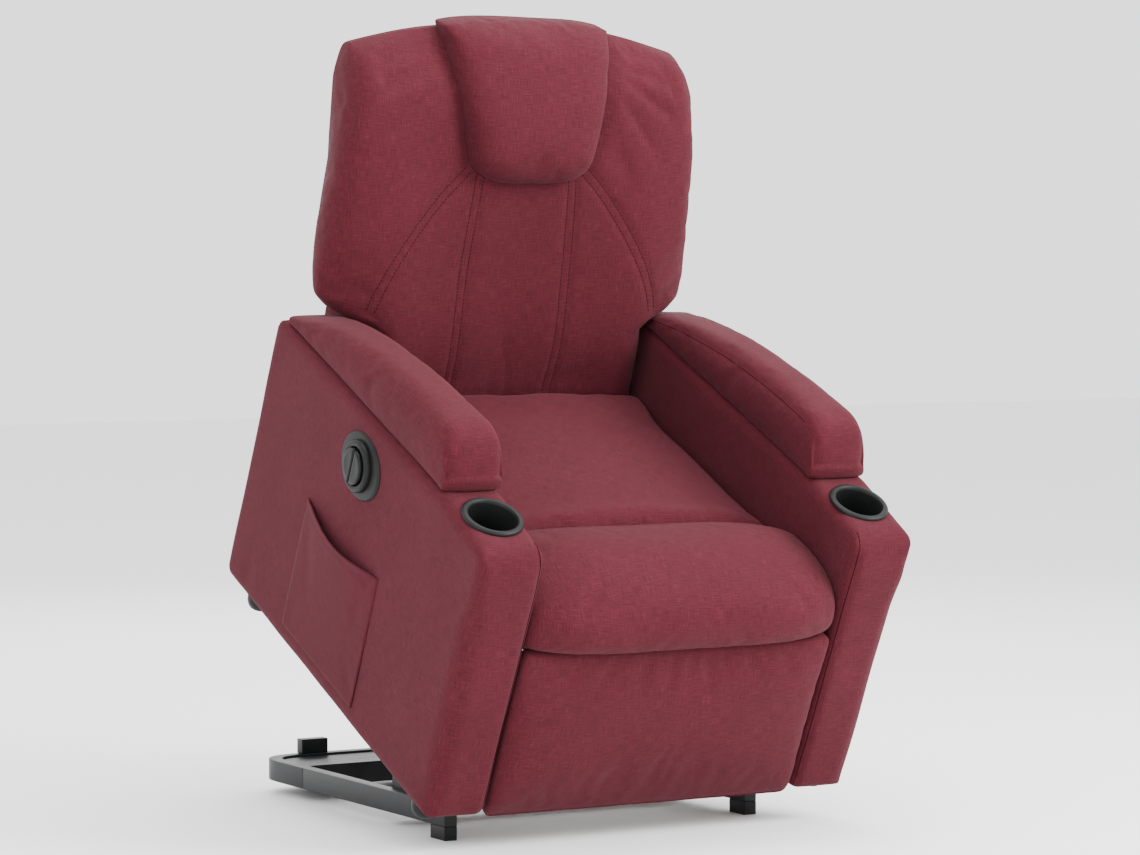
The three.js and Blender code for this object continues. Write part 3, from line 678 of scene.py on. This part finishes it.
def make_pad(name, side):
    def place(cube):
        across, level = cube[:, 0], (cube[:, 2] + 1) / 2
        y = lerp(PAD["front"], PAD["rear"], ((cube[:, 1] + 1) / 2) ** 1.4)
        top = np.maximum(pad_height(y), 3) * (1 - 0.17 * np.abs(across) ** 5)
        toward_edges = (2 * level - 1) ** 4
        x = lerp(PAD["inner"], PAD["outer"], (across + 1) / 2) - 5 * toward_edges * across ** 5
        y = y + (6 * toward_edges + 8 * across ** 4) * smooth(-y, -200, -PAD["front"])
        y = y + 7 * (level < 0.05) * smooth(-y, -200, -PAD["front"])
        return np.stack([x, y, DECK_TOP - 1 + top * level], axis=1) * (side, 1, 1)

    def cover(cube, points):
        held = (cube[:, 2] < -0.85) | (cube[:, 1] > 0.93)
        return {"held": held, "pressure": 2.0, "growth": 0.004, "cap": 0.004}

    def details(p):
        x, y, z = np.abs(p[:, 0]), p[:, 1], p[:, 2]
        depth = ripple(p, 120, 1.1, 31 + side)
        seam = path_depth(p * (side, 1, 1), pad_seam(), 4.5, 2.2)
        tucks = furrows(y, z, [((165, 486), (205, 500), 7, 1.4), ((250, 475), (262, 500), 9, 1.2),
                               ((420, 474), (428, 500), 9, 1.0)])
        return depth + seam + tucks * smooth(x, 360, 378)

    return soft_piece(f"arm_pad_{name}_soft", (16, 76, 10), place, CHAIR, [f"arm_pad_{name}"],
                      details, cover, side, fill=0.8)


def pad_seam():
    """The seam along the pad's inner top edge, at x > 0."""
    ys = np.linspace(185, 745, 26)
    return np.stack([np.full_like(ys, 286.0), ys, DECK_TOP + pad_height(ys) * 0.86 - 6], axis=1)


# ---------------------------------------------------------------- seat

def crown_across(u):
    """Fullness across a cushion, from 1 in the middle to 0 at its sides."""
    return (1 - np.clip(np.abs(u), 0, 1) ** 4) ** 0.8


def make_seat():
    def place(cube):
        half, front, rear, top = SEAT["half"], SEAT["front"], SEAT["rear"], SEAT["top"]
        p = round_box(cube, (-half, front, SEAT["bottom"]), (half, rear, top), 22)
        u, v = p[:, 0] / half, (p[:, 1] - front) / (rear - front)
        up = smooth(p[:, 2], 300, top)
        crown = 26 * (1 - u ** 2) * np.clip(1 - (2 * v - 1) ** 6, 0, 1) ** 0.5
        front_rise = 12 * (1 - u ** 4) * np.exp(-((p[:, 1] - 228) / 30) ** 2)
        rear_rise = 9 * smooth(p[:, 1], 560, 680)
        p[:, 2] += (crown + front_rise + rear_rise) * up
        return p

    def cover(cube, points):
        return {"held": (points[:, 2] < 300), "pressure": 2.0, "growth": 0.006, "cap": 0.006}

    def details(p):
        x, y = p[:, 0], p[:, 1]
        top = smooth(p[:, 2], 330, 350)
        lines = [((-250, 560), (-190, 600), 16, 2.0), ((250, 520), (200, 570), 16, 2.0),
                 ((-240, 300), (-200, 270), 18, 1.6), ((262, 330), (262, 470), 9, 1.5),
                 ((-120, 655), (130, 660), 20, 2.0), ((40, 560), (90, 620), 22, 1.2)]
        return ripple(p, 150, 1.6, 5) + furrows(x, y, lines) * top

    return soft_piece("seat_cushion_soft", (60, 50, 10), place, CHAIR, ["seat_cushion"],
                      details, cover, fill=0.75)


def roll_outline(u, v, w):
    """Point (y, z) of the front roll's section: v front to rear, w bottom to top, 0 to 1."""
    full = crown_across(u)
    nose = 6 - 37 * full
    top = 371 + 29 * full
    rear, rear_top, lip = 222.0, 352 + 20 * full, 279.0
    centre_y, centre_z = 152.0, 304.0
    power = 2 / 2.35

    def curve(t):
        low = t < 0.2
        turn = np.where(low, 0, (t - 0.2) / 0.8) * (math.pi / 2)
        y = centre_y - (centre_y - nose) * np.cos(turn) ** power
        z = centre_z + (top - centre_z) * np.sin(turn) ** power
        back = 1 - np.clip(t / 0.2, 0, 1)
        y = np.where(low, nose + 20 * back ** 2, y)
        z = np.where(low, centre_z - (centre_z - lip) * back, z)
        return y, z

    front_y, front_z = curve(0.62 * w)
    over_y, over_z = curve(0.62 + 0.38 * np.clip(v / 0.6, 0, 1))
    past = np.clip((v - 0.6) / 0.4, 0, 1)
    over_y = over_y + (rear - centre_y) * past
    over_z = over_z + (rear_top - top) * smooth(past, 0, 1)
    bottom_y = lerp(curve(np.zeros_like(v))[0], rear, v)
    bottom_z = np.full_like(v, lip)
    corner = curve(np.full_like(v, 0.62))
    start = curve(np.zeros_like(v))
    y = ((1 - v) * front_y + v * rear + (1 - w) * bottom_y + w * over_y
         - (1 - v) * (1 - w) * start[0] - v * (1 - w) * rear
         - (1 - v) * w * corner[0] - v * w * rear)
    z = ((1 - v) * front_z + v * lerp(lip, rear_top, w) + (1 - w) * bottom_z + w * over_z
         - (1 - v) * (1 - w) * lip - v * (1 - w) * lip
         - (1 - v) * w * corner[1] - v * w * rear_top)
    return y, z


def make_roll():
    def place(cube):
        u = cube[:, 0]
        y, z = roll_outline(u, (cube[:, 1] + 1) / 2, (cube[:, 2] + 1) / 2)
        end = np.abs(u) ** 24
        y = lerp(y, 120, 0.06 * end)
        z = lerp(z, 320, 0.02 * end)
        return np.stack([u * SEAT["half"], y, z], axis=1)

    def cover(cube, points):
        held = (cube[:, 2] < -0.9) | (cube[:, 1] > 0.9) | (np.abs(cube[:, 0]) > 0.985)
        return {"held": held, "pressure": 2.0, "growth": 0.007, "cap": 0.006}

    def details(p):
        x, y, z = p.T
        front = smooth(-y, -90, -10)
        lines = [((-255, 300), (-235, 345), 12, 2.0), ((255, 296), (240, 340), 12, 2.4),
                 ((-60, 284), (-40, 304), 11, 1.6), ((20, 283), (30, 300), 10, 1.6),
                 ((95, 283), (84, 302), 12, 1.4), ((-170, 284), (-160, 300), 12, 1.2)]
        top = smooth(z, 350, 372)
        across = [((-262, 100), (-225, 120), 14, 2.2), ((262, 90), (230, 120), 14, 2.2),
                  ((-200, 212), (200, 214), 12, 1.5)]
        return ripple(p, 140, 1.5, 8) + furrows(x, z, lines) * front + furrows(x, y, across) * top

    return soft_piece("seat_front_roll_soft", (60, 22, 18), place, CHAIR, ["seat_front_roll"],
                      details, cover, fill=0.85)


# ---------------------------------------------------------------- footrest

def make_footrest():
    def place(cube):
        half = FOOTREST["half"]
        p = round_box(cube, (-half, FOOTREST["front"], FOOTREST["bottom"]),
                      (half, FOOTREST["rear"], FOOTREST["top"]), 11)
        x, y, z = p.T
        face = smooth(-y, -14, 2)
        swell = 14 * np.sin(math.pi * np.clip((z - 15) / 262, 0, 1)) ** 0.8
        swell *= 1 - np.abs(x / half) ** 5
        tuck = 17 * np.clip((22 - z) / 35, 0, 1) ** 2
        p[:, 1] += (tuck - swell) * face
        return p

    def cover(cube, points):
        held = (points[:, 1] > 8) | (points[:, 2] > 268) | (points[:, 2] < -8)
        return {"held": held, "pressure": 2.0, "growth": 0.008, "cap": 0.005}

    def details(p):
        x, y, z = p.T
        face = smooth(-y, -12, 0)
        gathers = [((-62, 270), (-70, 218), 7, 2.6), ((-38, 271), (-34, 232), 6, 2.2),
                   ((-12, 271), (-20, 206), 7, 2.8), ((14, 271), (22, 224), 6, 2.4),
                   ((42, 271), (56, 214), 7, 2.6), ((72, 270), (90, 236), 7, 2.0),
                   ((112, 270), (134, 240), 8, 1.6), ((-110, 270), (-128, 242), 8, 1.4)]
        heights = ((36, 4), (70, 12), (112, 0), (150, 9), (198, 3), (236, 12))
        puckers = [((side * 266, z0), (side * (232 - shift), z0 + 10 + shift), 7, 1.7)
                   for side in (-1, 1) for z0, shift in heights]
        return ripple(p, 130, 1.0, 21) + 1.5 * furrows(x, z, gathers + puckers) * face

    return soft_piece("footrest_soft", (64, 6, 38), place, CHAIR, ["footrest_cushion"],
                      details, cover, body="footrest", fill=0.6)


# ---------------------------------------------------------------- back

def back_half_width(height):
    return np.interp(height, BACK_HEIGHTS, BACK_WIDTHS)


def back_front(height):
    """How far the padding stands in front of the board."""
    s = np.clip((height - 140) / (BACK_TOP - 140), 0, 1)
    return 124 - 14 * s - 70 * s ** 7


def back_arch(u, top):
    """Height of the back's top edge: highest in the middle, falling away to the shoulders."""
    return top - 40 * np.abs(u) ** 2.6


def wing_taper(height):
    """How far the back's sides are drawn in at their rear."""
    return np.interp(height, (0, 306, 346, 560, 700), (2, 6, 54, 40, 14))


def back_place(cube, low, high):
    """The back's section at each height: wide and soft in front, drawn in toward its rear."""
    w = (cube[:, 2] + 1) / 2
    top = back_arch(cube[:, 0], high)
    height = lerp(low, top, w)
    close = np.sqrt(np.clip(1 - np.clip((height - (top - 60)) / 60, 0, 1) ** 2, 0, 1))
    foot = np.sqrt(np.clip(1 - np.clip((low + 30 - height) / 30, 0, 1) ** 2, 0, 1))
    front = -back_front(height) * close * lerp(0.6, 1, foot) - 6 * (1 - close)
    rear = 17 * close
    middle, depth = (front + rear) / 2, np.maximum((rear - front) / 2, 0.5)
    half = back_half_width(height)
    radius = np.minimum(46, depth * 0.96)
    at_x, at_y = cube[:, 0] * half, cube[:, 1] * depth
    core_x = np.clip(at_x, -(half - radius), half - radius)
    core_y = np.clip(at_y, -(depth - radius), depth)
    off_x, off_y = at_x - core_x, at_y - core_y
    length = np.maximum(np.hypot(off_x, off_y), 1e-9)
    inside = (np.abs(cube[:, 0]) < 1) & (np.abs(cube[:, 1]) < 1)
    scale = np.where(inside, np.minimum(1, radius / length), radius / length)
    x = core_x + off_x * np.where(off_y < 0, scale, 1)
    y = middle + core_y + off_y * scale
    draw_in = wing_taper(height) * np.clip((y + 100) / 117, 0, 1) ** 1.3
    return np.stack([x * (1 - draw_in / half), y, height], axis=1)


def inner_stitch(side):
    t = np.linspace(0, 1, 40)
    x = side * (86 + 8 * t + 7 * np.sin(math.pi * t))
    return np.stack([x, np.zeros_like(t), lerp(572, 196, t)], axis=1)


def outer_stitch(side):
    curve = bezier([(108, 580), (150, 538), (192, 486), (228, 432), (252, 384), (266, 344)], 9)
    return np.stack([side * curve[:, 0], np.zeros(len(curve)), curve[:, 1]], axis=1)


def doubled(path, spread):
    """The path moved sideways in its own plane by spread."""
    step = np.gradient(path, axis=0)
    step /= np.linalg.norm(step, axis=1, keepdims=True)
    aside = np.stack([step[:, 2], np.zeros(len(path)), -step[:, 0]], axis=1)
    return path + aside * spread


def make_back():
    def place(cube):
        p = back_place(cube, 134, BACK_TOP)
        x, y, h = p.T
        front = smooth(-y, -8, 30)
        u = x / 347
        bolster = 20 * np.exp(-((np.abs(x) - 235) / 75) ** 2) - 7 * np.exp(-((x / 60) ** 2))
        lumbar = 10 * np.exp(-((h - 300) / 90) ** 2) * (1 - u ** 4)
        p[:, 1] -= (bolster * smooth(-h, -770, -330) + lumbar) * front * (1 - u ** 8)
        return p

    def cover(cube, points):
        held = (points[:, 1] > -6) | (points[:, 2] < 160)
        return {"held": held, "pressure": 2.2, "growth": 0.007, "cap": 0.006}

    def details(p):
        x, y, h = p.T
        front = smooth(-y, 10, 45)
        flat = np.stack([x, np.zeros_like(x), h], axis=1)
        depth = ripple(p, 160, 2.0, 3)
        for side in SIDES.values():
            for route in (inner_stitch(side), outer_stitch(side)):
                for spread in (-STITCH_SPREAD, STITCH_SPREAD):
                    depth += path_depth(flat, doubled(route, spread), 4.2, 3.4) * front
        beside = [((side * 100, 575), (side * 160, 790), 22, 9) for side in SIDES.values()]
        shoulder = [((-172, 748), (-272, 700), 13, 4.5), ((-176, 716), (-258, 640), 12, 3.5),
                    ((-180, 764), (-250, 744), 10, 3.5), ((-150, 660), (-210, 560), 16, 3.0),
                    ((-300, 730), (-322, 640), 14, 2.5),
                    ((170, 752), (262, 722), 11, 5.0), ((172, 730), (270, 668), 10, 5.0),
                    ((168, 704), (236, 612), 11, 4.0), ((188, 764), (246, 756), 9, 3.5),
                    ((150, 640), (196, 560), 14, 3.0), ((300, 720), (326, 630), 14, 2.5)]
        corner = [((-330, 410), (-262, 372), 13, 3.0), ((-318, 440), (-250, 410), 15, 2.0),
                  ((330, 408), (262, 352), 12, 4.0), ((322, 440), (256, 392), 13, 3.2),
                  ((296, 366), (250, 300), 11, 3.5), ((-284, 358), (-246, 300), 12, 2.5)]
        low = [((-150, 215), (-40, 232), 22, 2.4), ((60, 214), (190, 236), 22, 2.4)]
        return depth + furrows(x, h, beside + shoulder + corner + low) * front

    return soft_piece("back_cushion_soft", (100, 14, 108), place, BOARD, ["back_cushion"],
                      details, cover, body="back", fill=0.7)


def make_pillow():
    def place(cube):
        w = (cube[:, 2] + 1) / 2
        top = BACK_TOP + 11
        u = cube[:, 0]
        height = lerp(PILLOW_LOW + 12 * u ** 4, top - 8 * u ** 4, w)
        half = lerp(100, 153, w ** 0.8) - 16 * np.clip(1 - w / 0.10, 0, 1) ** 2
        side_edge = 1 - np.abs(u) ** 5
        rise = np.sqrt(np.clip(w / 0.16, 0, 1))
        rise *= np.sqrt(np.clip(1 - np.clip((w - 0.86) / 0.145, 0, 1) ** 2, 0, 1))
        stand = 8 + 40 * side_edge ** 0.6 * rise
        up = np.clip((height - PILLOW_LOW) / (top - PILLOW_LOW), 0, 1)
        base = 112 - 8 * up - 80 * up ** 2.2
        y = lerp(-(base + stand), 30 - base, (cube[:, 1] + 1) / 2)
        return np.stack([u * half, y, height], axis=1)

    def cover(cube, points):
        return {"held": (cube[:, 1] > 0.3), "pressure": 2.5, "growth": 0.010, "cap": 0.006}

    def details(p):
        x, y, h = p.T
        lines = [((-92, 580), (-60, 606), 9, 2.4), ((92, 580), (58, 610), 9, 2.4),
                 ((-130, 690), (-96, 700), 10, 2.0), ((146, 744), (100, 728), 11, 2.2),
                 ((-20, 572), (-16, 600), 9, 1.6), ((30, 572), (34, 596), 9, 1.6)]
        return ripple(p, 110, 1.6, 14) + furrows(x, h, lines)

    return soft_piece("head_pillow_soft", (40, 10, 34), place, BOARD, ["head_pillow"],
                      details, cover, body="back", fill=0.9)


def make_rear_panel():
    def place(cube):
        w = (cube[:, 2] + 1) / 2
        height = lerp(-3, back_arch(cube[:, 0], BACK_TOP) - 8, w)
        half = back_half_width(height) - wing_taper(height) - 8
        u = cube[:, 0]
        swell = (1 - np.abs(u) ** 6) * (1 - (2 * w - 1) ** 8)
        depth = 16 + 11 * np.clip(swell, 0, 1) ** 0.5
        return np.stack([u * half, lerp(17.5, 18 + depth, (cube[:, 1] + 1) / 2), height], axis=1)

    def cover(cube, points):
        return {"held": (cube[:, 1] < 0.9), "pressure": 1.6, "growth": 0.006, "cap": 0.005}

    def details(p):
        x, y, h = p.T
        rear = smooth(y, 22, 30)
        cross_seam = 2.4 * np.exp(-(((h - 352) / 5.0) ** 2))
        hem = 2.0 * np.exp(-(((h - 26) / 4.5) ** 2))
        lines = [((-240, 60), (-200, 140), 18, 1.6), ((240, 60), (205, 150), 18, 1.6),
                 ((-290, 420), (-250, 380), 14, 1.8), ((290, 420), (250, 380), 14, 1.8)]
        return ripple(p, 180, 1.5, 17) + (cross_seam + hem + furrows(x, h, lines)) * rear

    return soft_piece("back_rear_panel_soft", (56, 4, 62), place, BOARD, ["back_rear_panel"],
                      details, cover, body="back", fill=0.3)


# ---------------------------------------------------------------- side pocket

def make_pocket():
    """A cloth pocket stitched on three sides, its mouth sagging open a little."""
    front, back, low, high = POCKET["front"], POCKET["back"], POCKET["bottom"], POCKET["top"]
    cols, rows = 48, 42
    points, faces = [], []
    for layer in (0, 1):
        for j in range(rows + 1):
            for i in range(cols + 1):
                a, b = i / cols, j / rows
                bow = math.sin(math.pi * a)
                y = lerp(front, back, a)
                z = lerp(low, high, b) - 14 * bow ** 1.5 * b ** 6
                stand = 2.2 + 15 * bow ** 0.8 * b ** 2
                points.append((-(ARM_OUTER + 0.6 + stand - 1.6 * layer), y, z))

    def at(layer, i, j):
        return layer * (cols + 1) * (rows + 1) + j * (cols + 1) + i

    for j in range(rows):
        for i in range(cols):
            faces.append((at(0, i, j), at(0, i, j + 1), at(0, i + 1, j + 1), at(0, i + 1, j)))
            faces.append((at(1, i, j), at(1, i + 1, j), at(1, i + 1, j + 1), at(1, i, j + 1)))
    rim = [(i, 0) for i in range(cols)] + [(cols, j) for j in range(rows)]
    rim += [(i, rows) for i in range(cols, 0, -1)] + [(0, j) for j in range(rows, 0, -1)]
    for here, there in zip(rim, rim[1:] + rim[:1]):
        faces.append((at(0, *here), at(0, *there), at(1, *there), at(1, *here)))
    obj = new_object("side_pocket_cloth", np.array(points) * MM, faces, FABRIC)
    p = read_points(obj) / MM
    hem = 0.9 * np.exp(-(((p[:, 2] - (high - 20)) / 3.0) ** 2))
    folds = furrows(p[:, 1], p[:, 2], [((300, 250), (330, 150), 16, 1.8), ((520, 240), (490, 120), 18, 1.8),
                                       ((286, 40), (320, 80), 12, 1.2), ((540, 40), (505, 84), 12, 1.2)])
    p[:, 0] += hem + folds
    write_points(obj, p * MM)
    cloth_uv(obj)
    obj.data.transform(CHAIR @ Matrix.Scale(1 / MM, 4))
    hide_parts("side_pocket")
    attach(obj, "chair")
    return obj


# ---------------------------------------------------------------- hard pieces

def bevelled(node, body, material, width=0.0015, segments=3):
    """A CAD piece with its edges rolled over as the real one's are."""
    source = frame["nodes"][node]
    bm = bmesh.new()
    bm.from_mesh(source.data)
    bmesh.ops.remove_doubles(bm, verts=bm.verts, dist=1e-6)
    bmesh.ops.dissolve_limit(bm, angle_limit=math.radians(1), verts=bm.verts, edges=bm.edges)
    obj = finish_bmesh(f"{node}_finished", bm, material, body, nodes=(node,))
    bevel = obj.modifiers.new("edges", "BEVEL")
    bevel.width = width
    bevel.segments = segments
    bevel.limit_method = "ANGLE"
    bevel.angle_limit = math.radians(35)
    bevel.harden_normals = True
    return obj


def lathe(name, profile, steps, where, body, nodes):
    """A turned plastic piece: a closed profile of (radius, height) in millimetres about where's z."""
    bm = bmesh.new()
    angles = [2 * math.pi * k / steps for k in range(steps)]
    rings = []
    for radius, height in profile:
        if radius < 1e-6:
            rings.append([bm.verts.new(where @ Vector((0, 0, height)))] * steps)
            continue
        rings.append([
            bm.verts.new(where @ Vector((radius * math.cos(a), radius * math.sin(a), height)))
            for a in angles
        ])
    loft(bm, rings, capped=False)
    return finish_bmesh(name, bm, PLASTIC, body, nodes)


def round_profile(corners, radius, count=5):
    """A profile with each inner corner of the polyline rounded."""
    out = [corners[0]]
    for before, corner, after in zip(corners[:-2], corners[1:-1], corners[2:]):
        a, c, b = (np.array(p, float) for p in (before, corner, after))
        reach = min(radius, 0.45 * np.linalg.norm(a - c), 0.45 * np.linalg.norm(b - c))
        start = c + (a - c) / np.linalg.norm(a - c) * reach
        end = c + (b - c) / np.linalg.norm(b - c) * reach
        for t in np.linspace(0, 1, count):
            out.append(tuple((1 - t) ** 2 * start + 2 * t * (1 - t) * c + t ** 2 * end))
    out.append(corners[-1])
    return out


def make_cup(name, side):
    profile = round_profile([
        (0, -73), (37, -73), (38.6, -2), (47, -2), (48.5, 0.5), (47.8, 3.6), (44, 5.8), (40, 5.2),
        (37.6, 1.5), (36.4, -20), (34.5, -68), (32, -70), (0, -70),
    ], 2.5)
    lathe(f"cup_{name}", profile, 64, CHAIR @ cup_place(side), "chair", (f"cup_holder_{name}",))


def make_control():
    outward = Matrix(((0, 0, -1, 0), (0, 1, 0, 0), (1, 0, 0, 0), (0, 0, 0, 1)))
    spot = Matrix.Translation((-ARM_OUTER, CONTROL["y"], CONTROL["z"]))
    where = CHAIR @ spot @ outward
    plate = round_profile([(0, 0.3), (64, 0.3), (65.5, 2.0), (62, 5.6), (44, 6.4), (0, 6.4)], 1.8)
    oval = where @ Matrix.Diagonal((52 / 65.5, 1, 1, 1))
    lathe("control_bezel", plate, 72, oval, "chair", ("control_plate",))
    ring = round_profile([
        (0, 5.4), (42, 5.4), (42, 11), (40, 14.6), (36, 16), (31.5, 15), (30.4, 13), (30.4, 7.4), (0, 7.4),
    ], 2.2)
    lathe("control_ring", ring, 72, where, "chair", ("control_housing",))
    half_button("button_raise", "raise_button", where, math.pi)
    half_button("button_recline", "recline_button", where, 0.0)


def half_button(node, body, where, start):
    """One half-moon push button with a soft edge and a shallow finger dish."""
    bm = bmesh.new()
    steps, radius, gap = 26, 28.4, 1.0
    outline = [(radius * math.cos(a), radius * math.sin(a))
               for a in np.linspace(start + 0.045, start + math.pi - 0.045, steps)]
    levels = [(1.0, 11.2), (1.0, 18.2), (0.965, 19.6), (0.90, 20.2), (0.6, 19.9), (0.3, 19.6)]
    toward = Vector((math.cos(start + math.pi / 2), math.sin(start + math.pi / 2)))
    inward, heart = toward * gap, toward * 12.5
    rings = []
    for scale, height in levels:
        rings.append([
            bm.verts.new(where @ Vector((
                lerp(heart[0], x + inward[0], scale), lerp(heart[1], y + inward[1], scale), height)))
            for x, y in outline
        ])
    loft(bm, rings)
    finish_bmesh(f"{node}_cap", bm, GLOSSY, body, (node,))


REMADE = ("arm_cover", "arm_pad", "cup_holder", "cushion", "roll", "pillow", "rear_panel", "pocket",
          "control_plate", "control_housing", "button", "glide")


def make_hard_pieces():
    """Bevels and paints every CAD piece that isn't made anew elsewhere."""
    plastic = {"front_foot_right", "front_foot_left", "rear_foot_right", "rear_foot_left",
               "actuator_motor", "control_box"}
    timber = {"arm_frame_right", "arm_frame_left", "seat_rail_front", "seat_rail_rear",
              "footrest_board", "back_board"}
    others = {"actuator_rod": (CHROME, "rod"), "seat_suspension": (WEBBING, "webbing")}
    for body, members in frame["record"]["behaviour"]["bodies"].items():
        for node in members:
            if any(word in node for word in REMADE):
                continue
            material, slot = STEEL, "steel"
            if node in plastic:
                material, slot = PLASTIC, "plastic"
            if node in timber:
                material, slot = PLYWOOD, "timber"
            if node in others:
                material, slot = others[node]
            bevelled(node, body, material, width=0.0022 if "base_" in node else 0.0010)


def make_glides():
    for name, side in SIDES.items():
        for end in ("front", "rear"):
            node = f"glide_{end}_{name}"
            where = CHAIR @ Matrix.Translation((side * GLIDE["x"], GLIDE[end], 0))
            profile = round_profile([(0, -30), (9, -30), (17, -26), (21.5, -16), (22, -0.4), (0, -0.4)], 4)
            lathe(f"{node}_dome", profile, 40, where, "chair", (node,))


# ---------------------------------------------------------------- seams

def sew_back(back):
    surface = surface_of(back)
    for name, side in SIDES.items():
        for kind, route in (("inner", inner_stitch(side)), ("outer", outer_stitch(side))):
            for label, spread in (("a", -STITCH_SPREAD), ("b", STITCH_SPREAD)):
                laid = lay_on(surface, doubled(route, spread) + (0, -200, 0), BOARD, (0, 1, 0))
                stitches(f"back_stitch_{kind}_{label}_{name}", laid, "back")


def sew_arms(arms, pads):
    for name, side in SIDES.items():
        # The arm and pad seam tubes are dark lines of painted shade laid in the seam grooves.
        path = bezier(inner_front_seam() * (side, 1, 1), 12) - (0, 60, 0)
        laid = lay_on(surface_of(arms[name]), path, CHAIR, (0, 1, 0))
        seam_shade_tube(f"arm_front_seam_shade_{name}", laid, 0.0008, "chair")
        path = (pad_seam() - (60, 0, 0)) * (side, 1, 1)
        laid = lay_on(surface_of(pads[name]), path, CHAIR, (side, 0, 0))
        seam_shade_tube(f"pad_seam_{name}", laid, 0.0005, "chair")


# ---------------------------------------------------------------- camera, light and floor

FRONT_PIVOT_Y = -0.228157  # the lift's front pivot before the frame was centred on its footprint


def make_camera():
    """The photograph's view, with a plain lens on a 36 mm sensor."""
    azimuth, elevation = math.radians(-30.33), math.radians(2.54)
    shift_y = JOINTS["lift_swing"]["pos_m"][1] - FRONT_PIVOT_Y
    target = Vector((JOINTS["chair_tilt"]["pos_m"][0], shift_y - 0.2, 0.6296))
    away = Vector((math.sin(azimuth) * math.cos(elevation), -math.cos(azimuth) * math.cos(elevation),
                   math.sin(elevation)))
    data = bpy.data.cameras.new("camera")
    data.sensor_width = 36
    data.lens = 120.9158
    camera = bpy.data.objects.new("camera", data)
    camera.location = target + away * 6.1248
    camera.rotation_euler = (-away).to_track_quat("-Z", "Y").to_euler()
    bpy.context.scene.collection.objects.link(camera)
    bpy.context.scene.camera = camera


def make_stage():
    """A pale floor and soft studio light."""
    scene = bpy.context.scene
    world = bpy.data.worlds.new("studio")
    scene.world = world
    world.use_nodes = True
    background = world.node_tree.nodes["Background"]
    background.inputs["Color"].default_value = (1, 1, 1, 1)
    background.inputs["Strength"].default_value = 2.0

    bm = bmesh.new()
    bmesh.ops.create_grid(bm, x_segments=2, y_segments=2, size=14)
    mesh = bpy.data.meshes.new("floor")
    bm.to_mesh(mesh)
    bm.free()
    floor = bpy.data.objects.new("floor", mesh)
    floor_material, _, _, shader = new_material("pale_floor")
    shader.inputs["Base Color"].default_value = (0.9, 0.9, 0.9, 1)
    shader.inputs["Roughness"].default_value = 0.9
    mesh.materials.append(floor_material)
    scene.collection.objects.link(floor)

    lamps = [
        ("key", (2.6, -3.0, 2.6), 2.4, 330),
        ("fill", (-3.4, -2.4, 1.9), 3.0, 70),
        ("top", (0.2, -0.4, 3.6), 2.4, 110),
        ("rear", (1.2, 3.2, 2.4), 2.4, 60),
    ]
    for name, place, size, power in lamps:
        lamp = bpy.data.lights.new(name, "AREA")
        lamp.energy = power
        lamp.size = size
        lamp.shape = "SQUARE"
        obj = bpy.data.objects.new(name, lamp)
        obj.location = place
        obj.rotation_euler = (Vector((0, -0.1, 0.6)) - Vector(place)).to_track_quat("-Z", "Y").to_euler()
        scene.collection.objects.link(obj)


# ---------------------------------------------------------------- the chair

def make_chair():
    arms = {name: make_arm(name, side) for name, side in SIDES.items()}
    pads = {name: make_pad(name, side) for name, side in SIDES.items()}
    for name, side in SIDES.items():
        make_cup(name, side)
    make_seat()
    make_roll()
    make_footrest()
    back = make_back()
    make_pillow()
    make_rear_panel()
    make_pocket()
    make_control()
    make_glides()
    make_hard_pieces()
    sew_back(back)
    sew_arms(arms, pads)


make_camera()
make_stage()
make_chair()
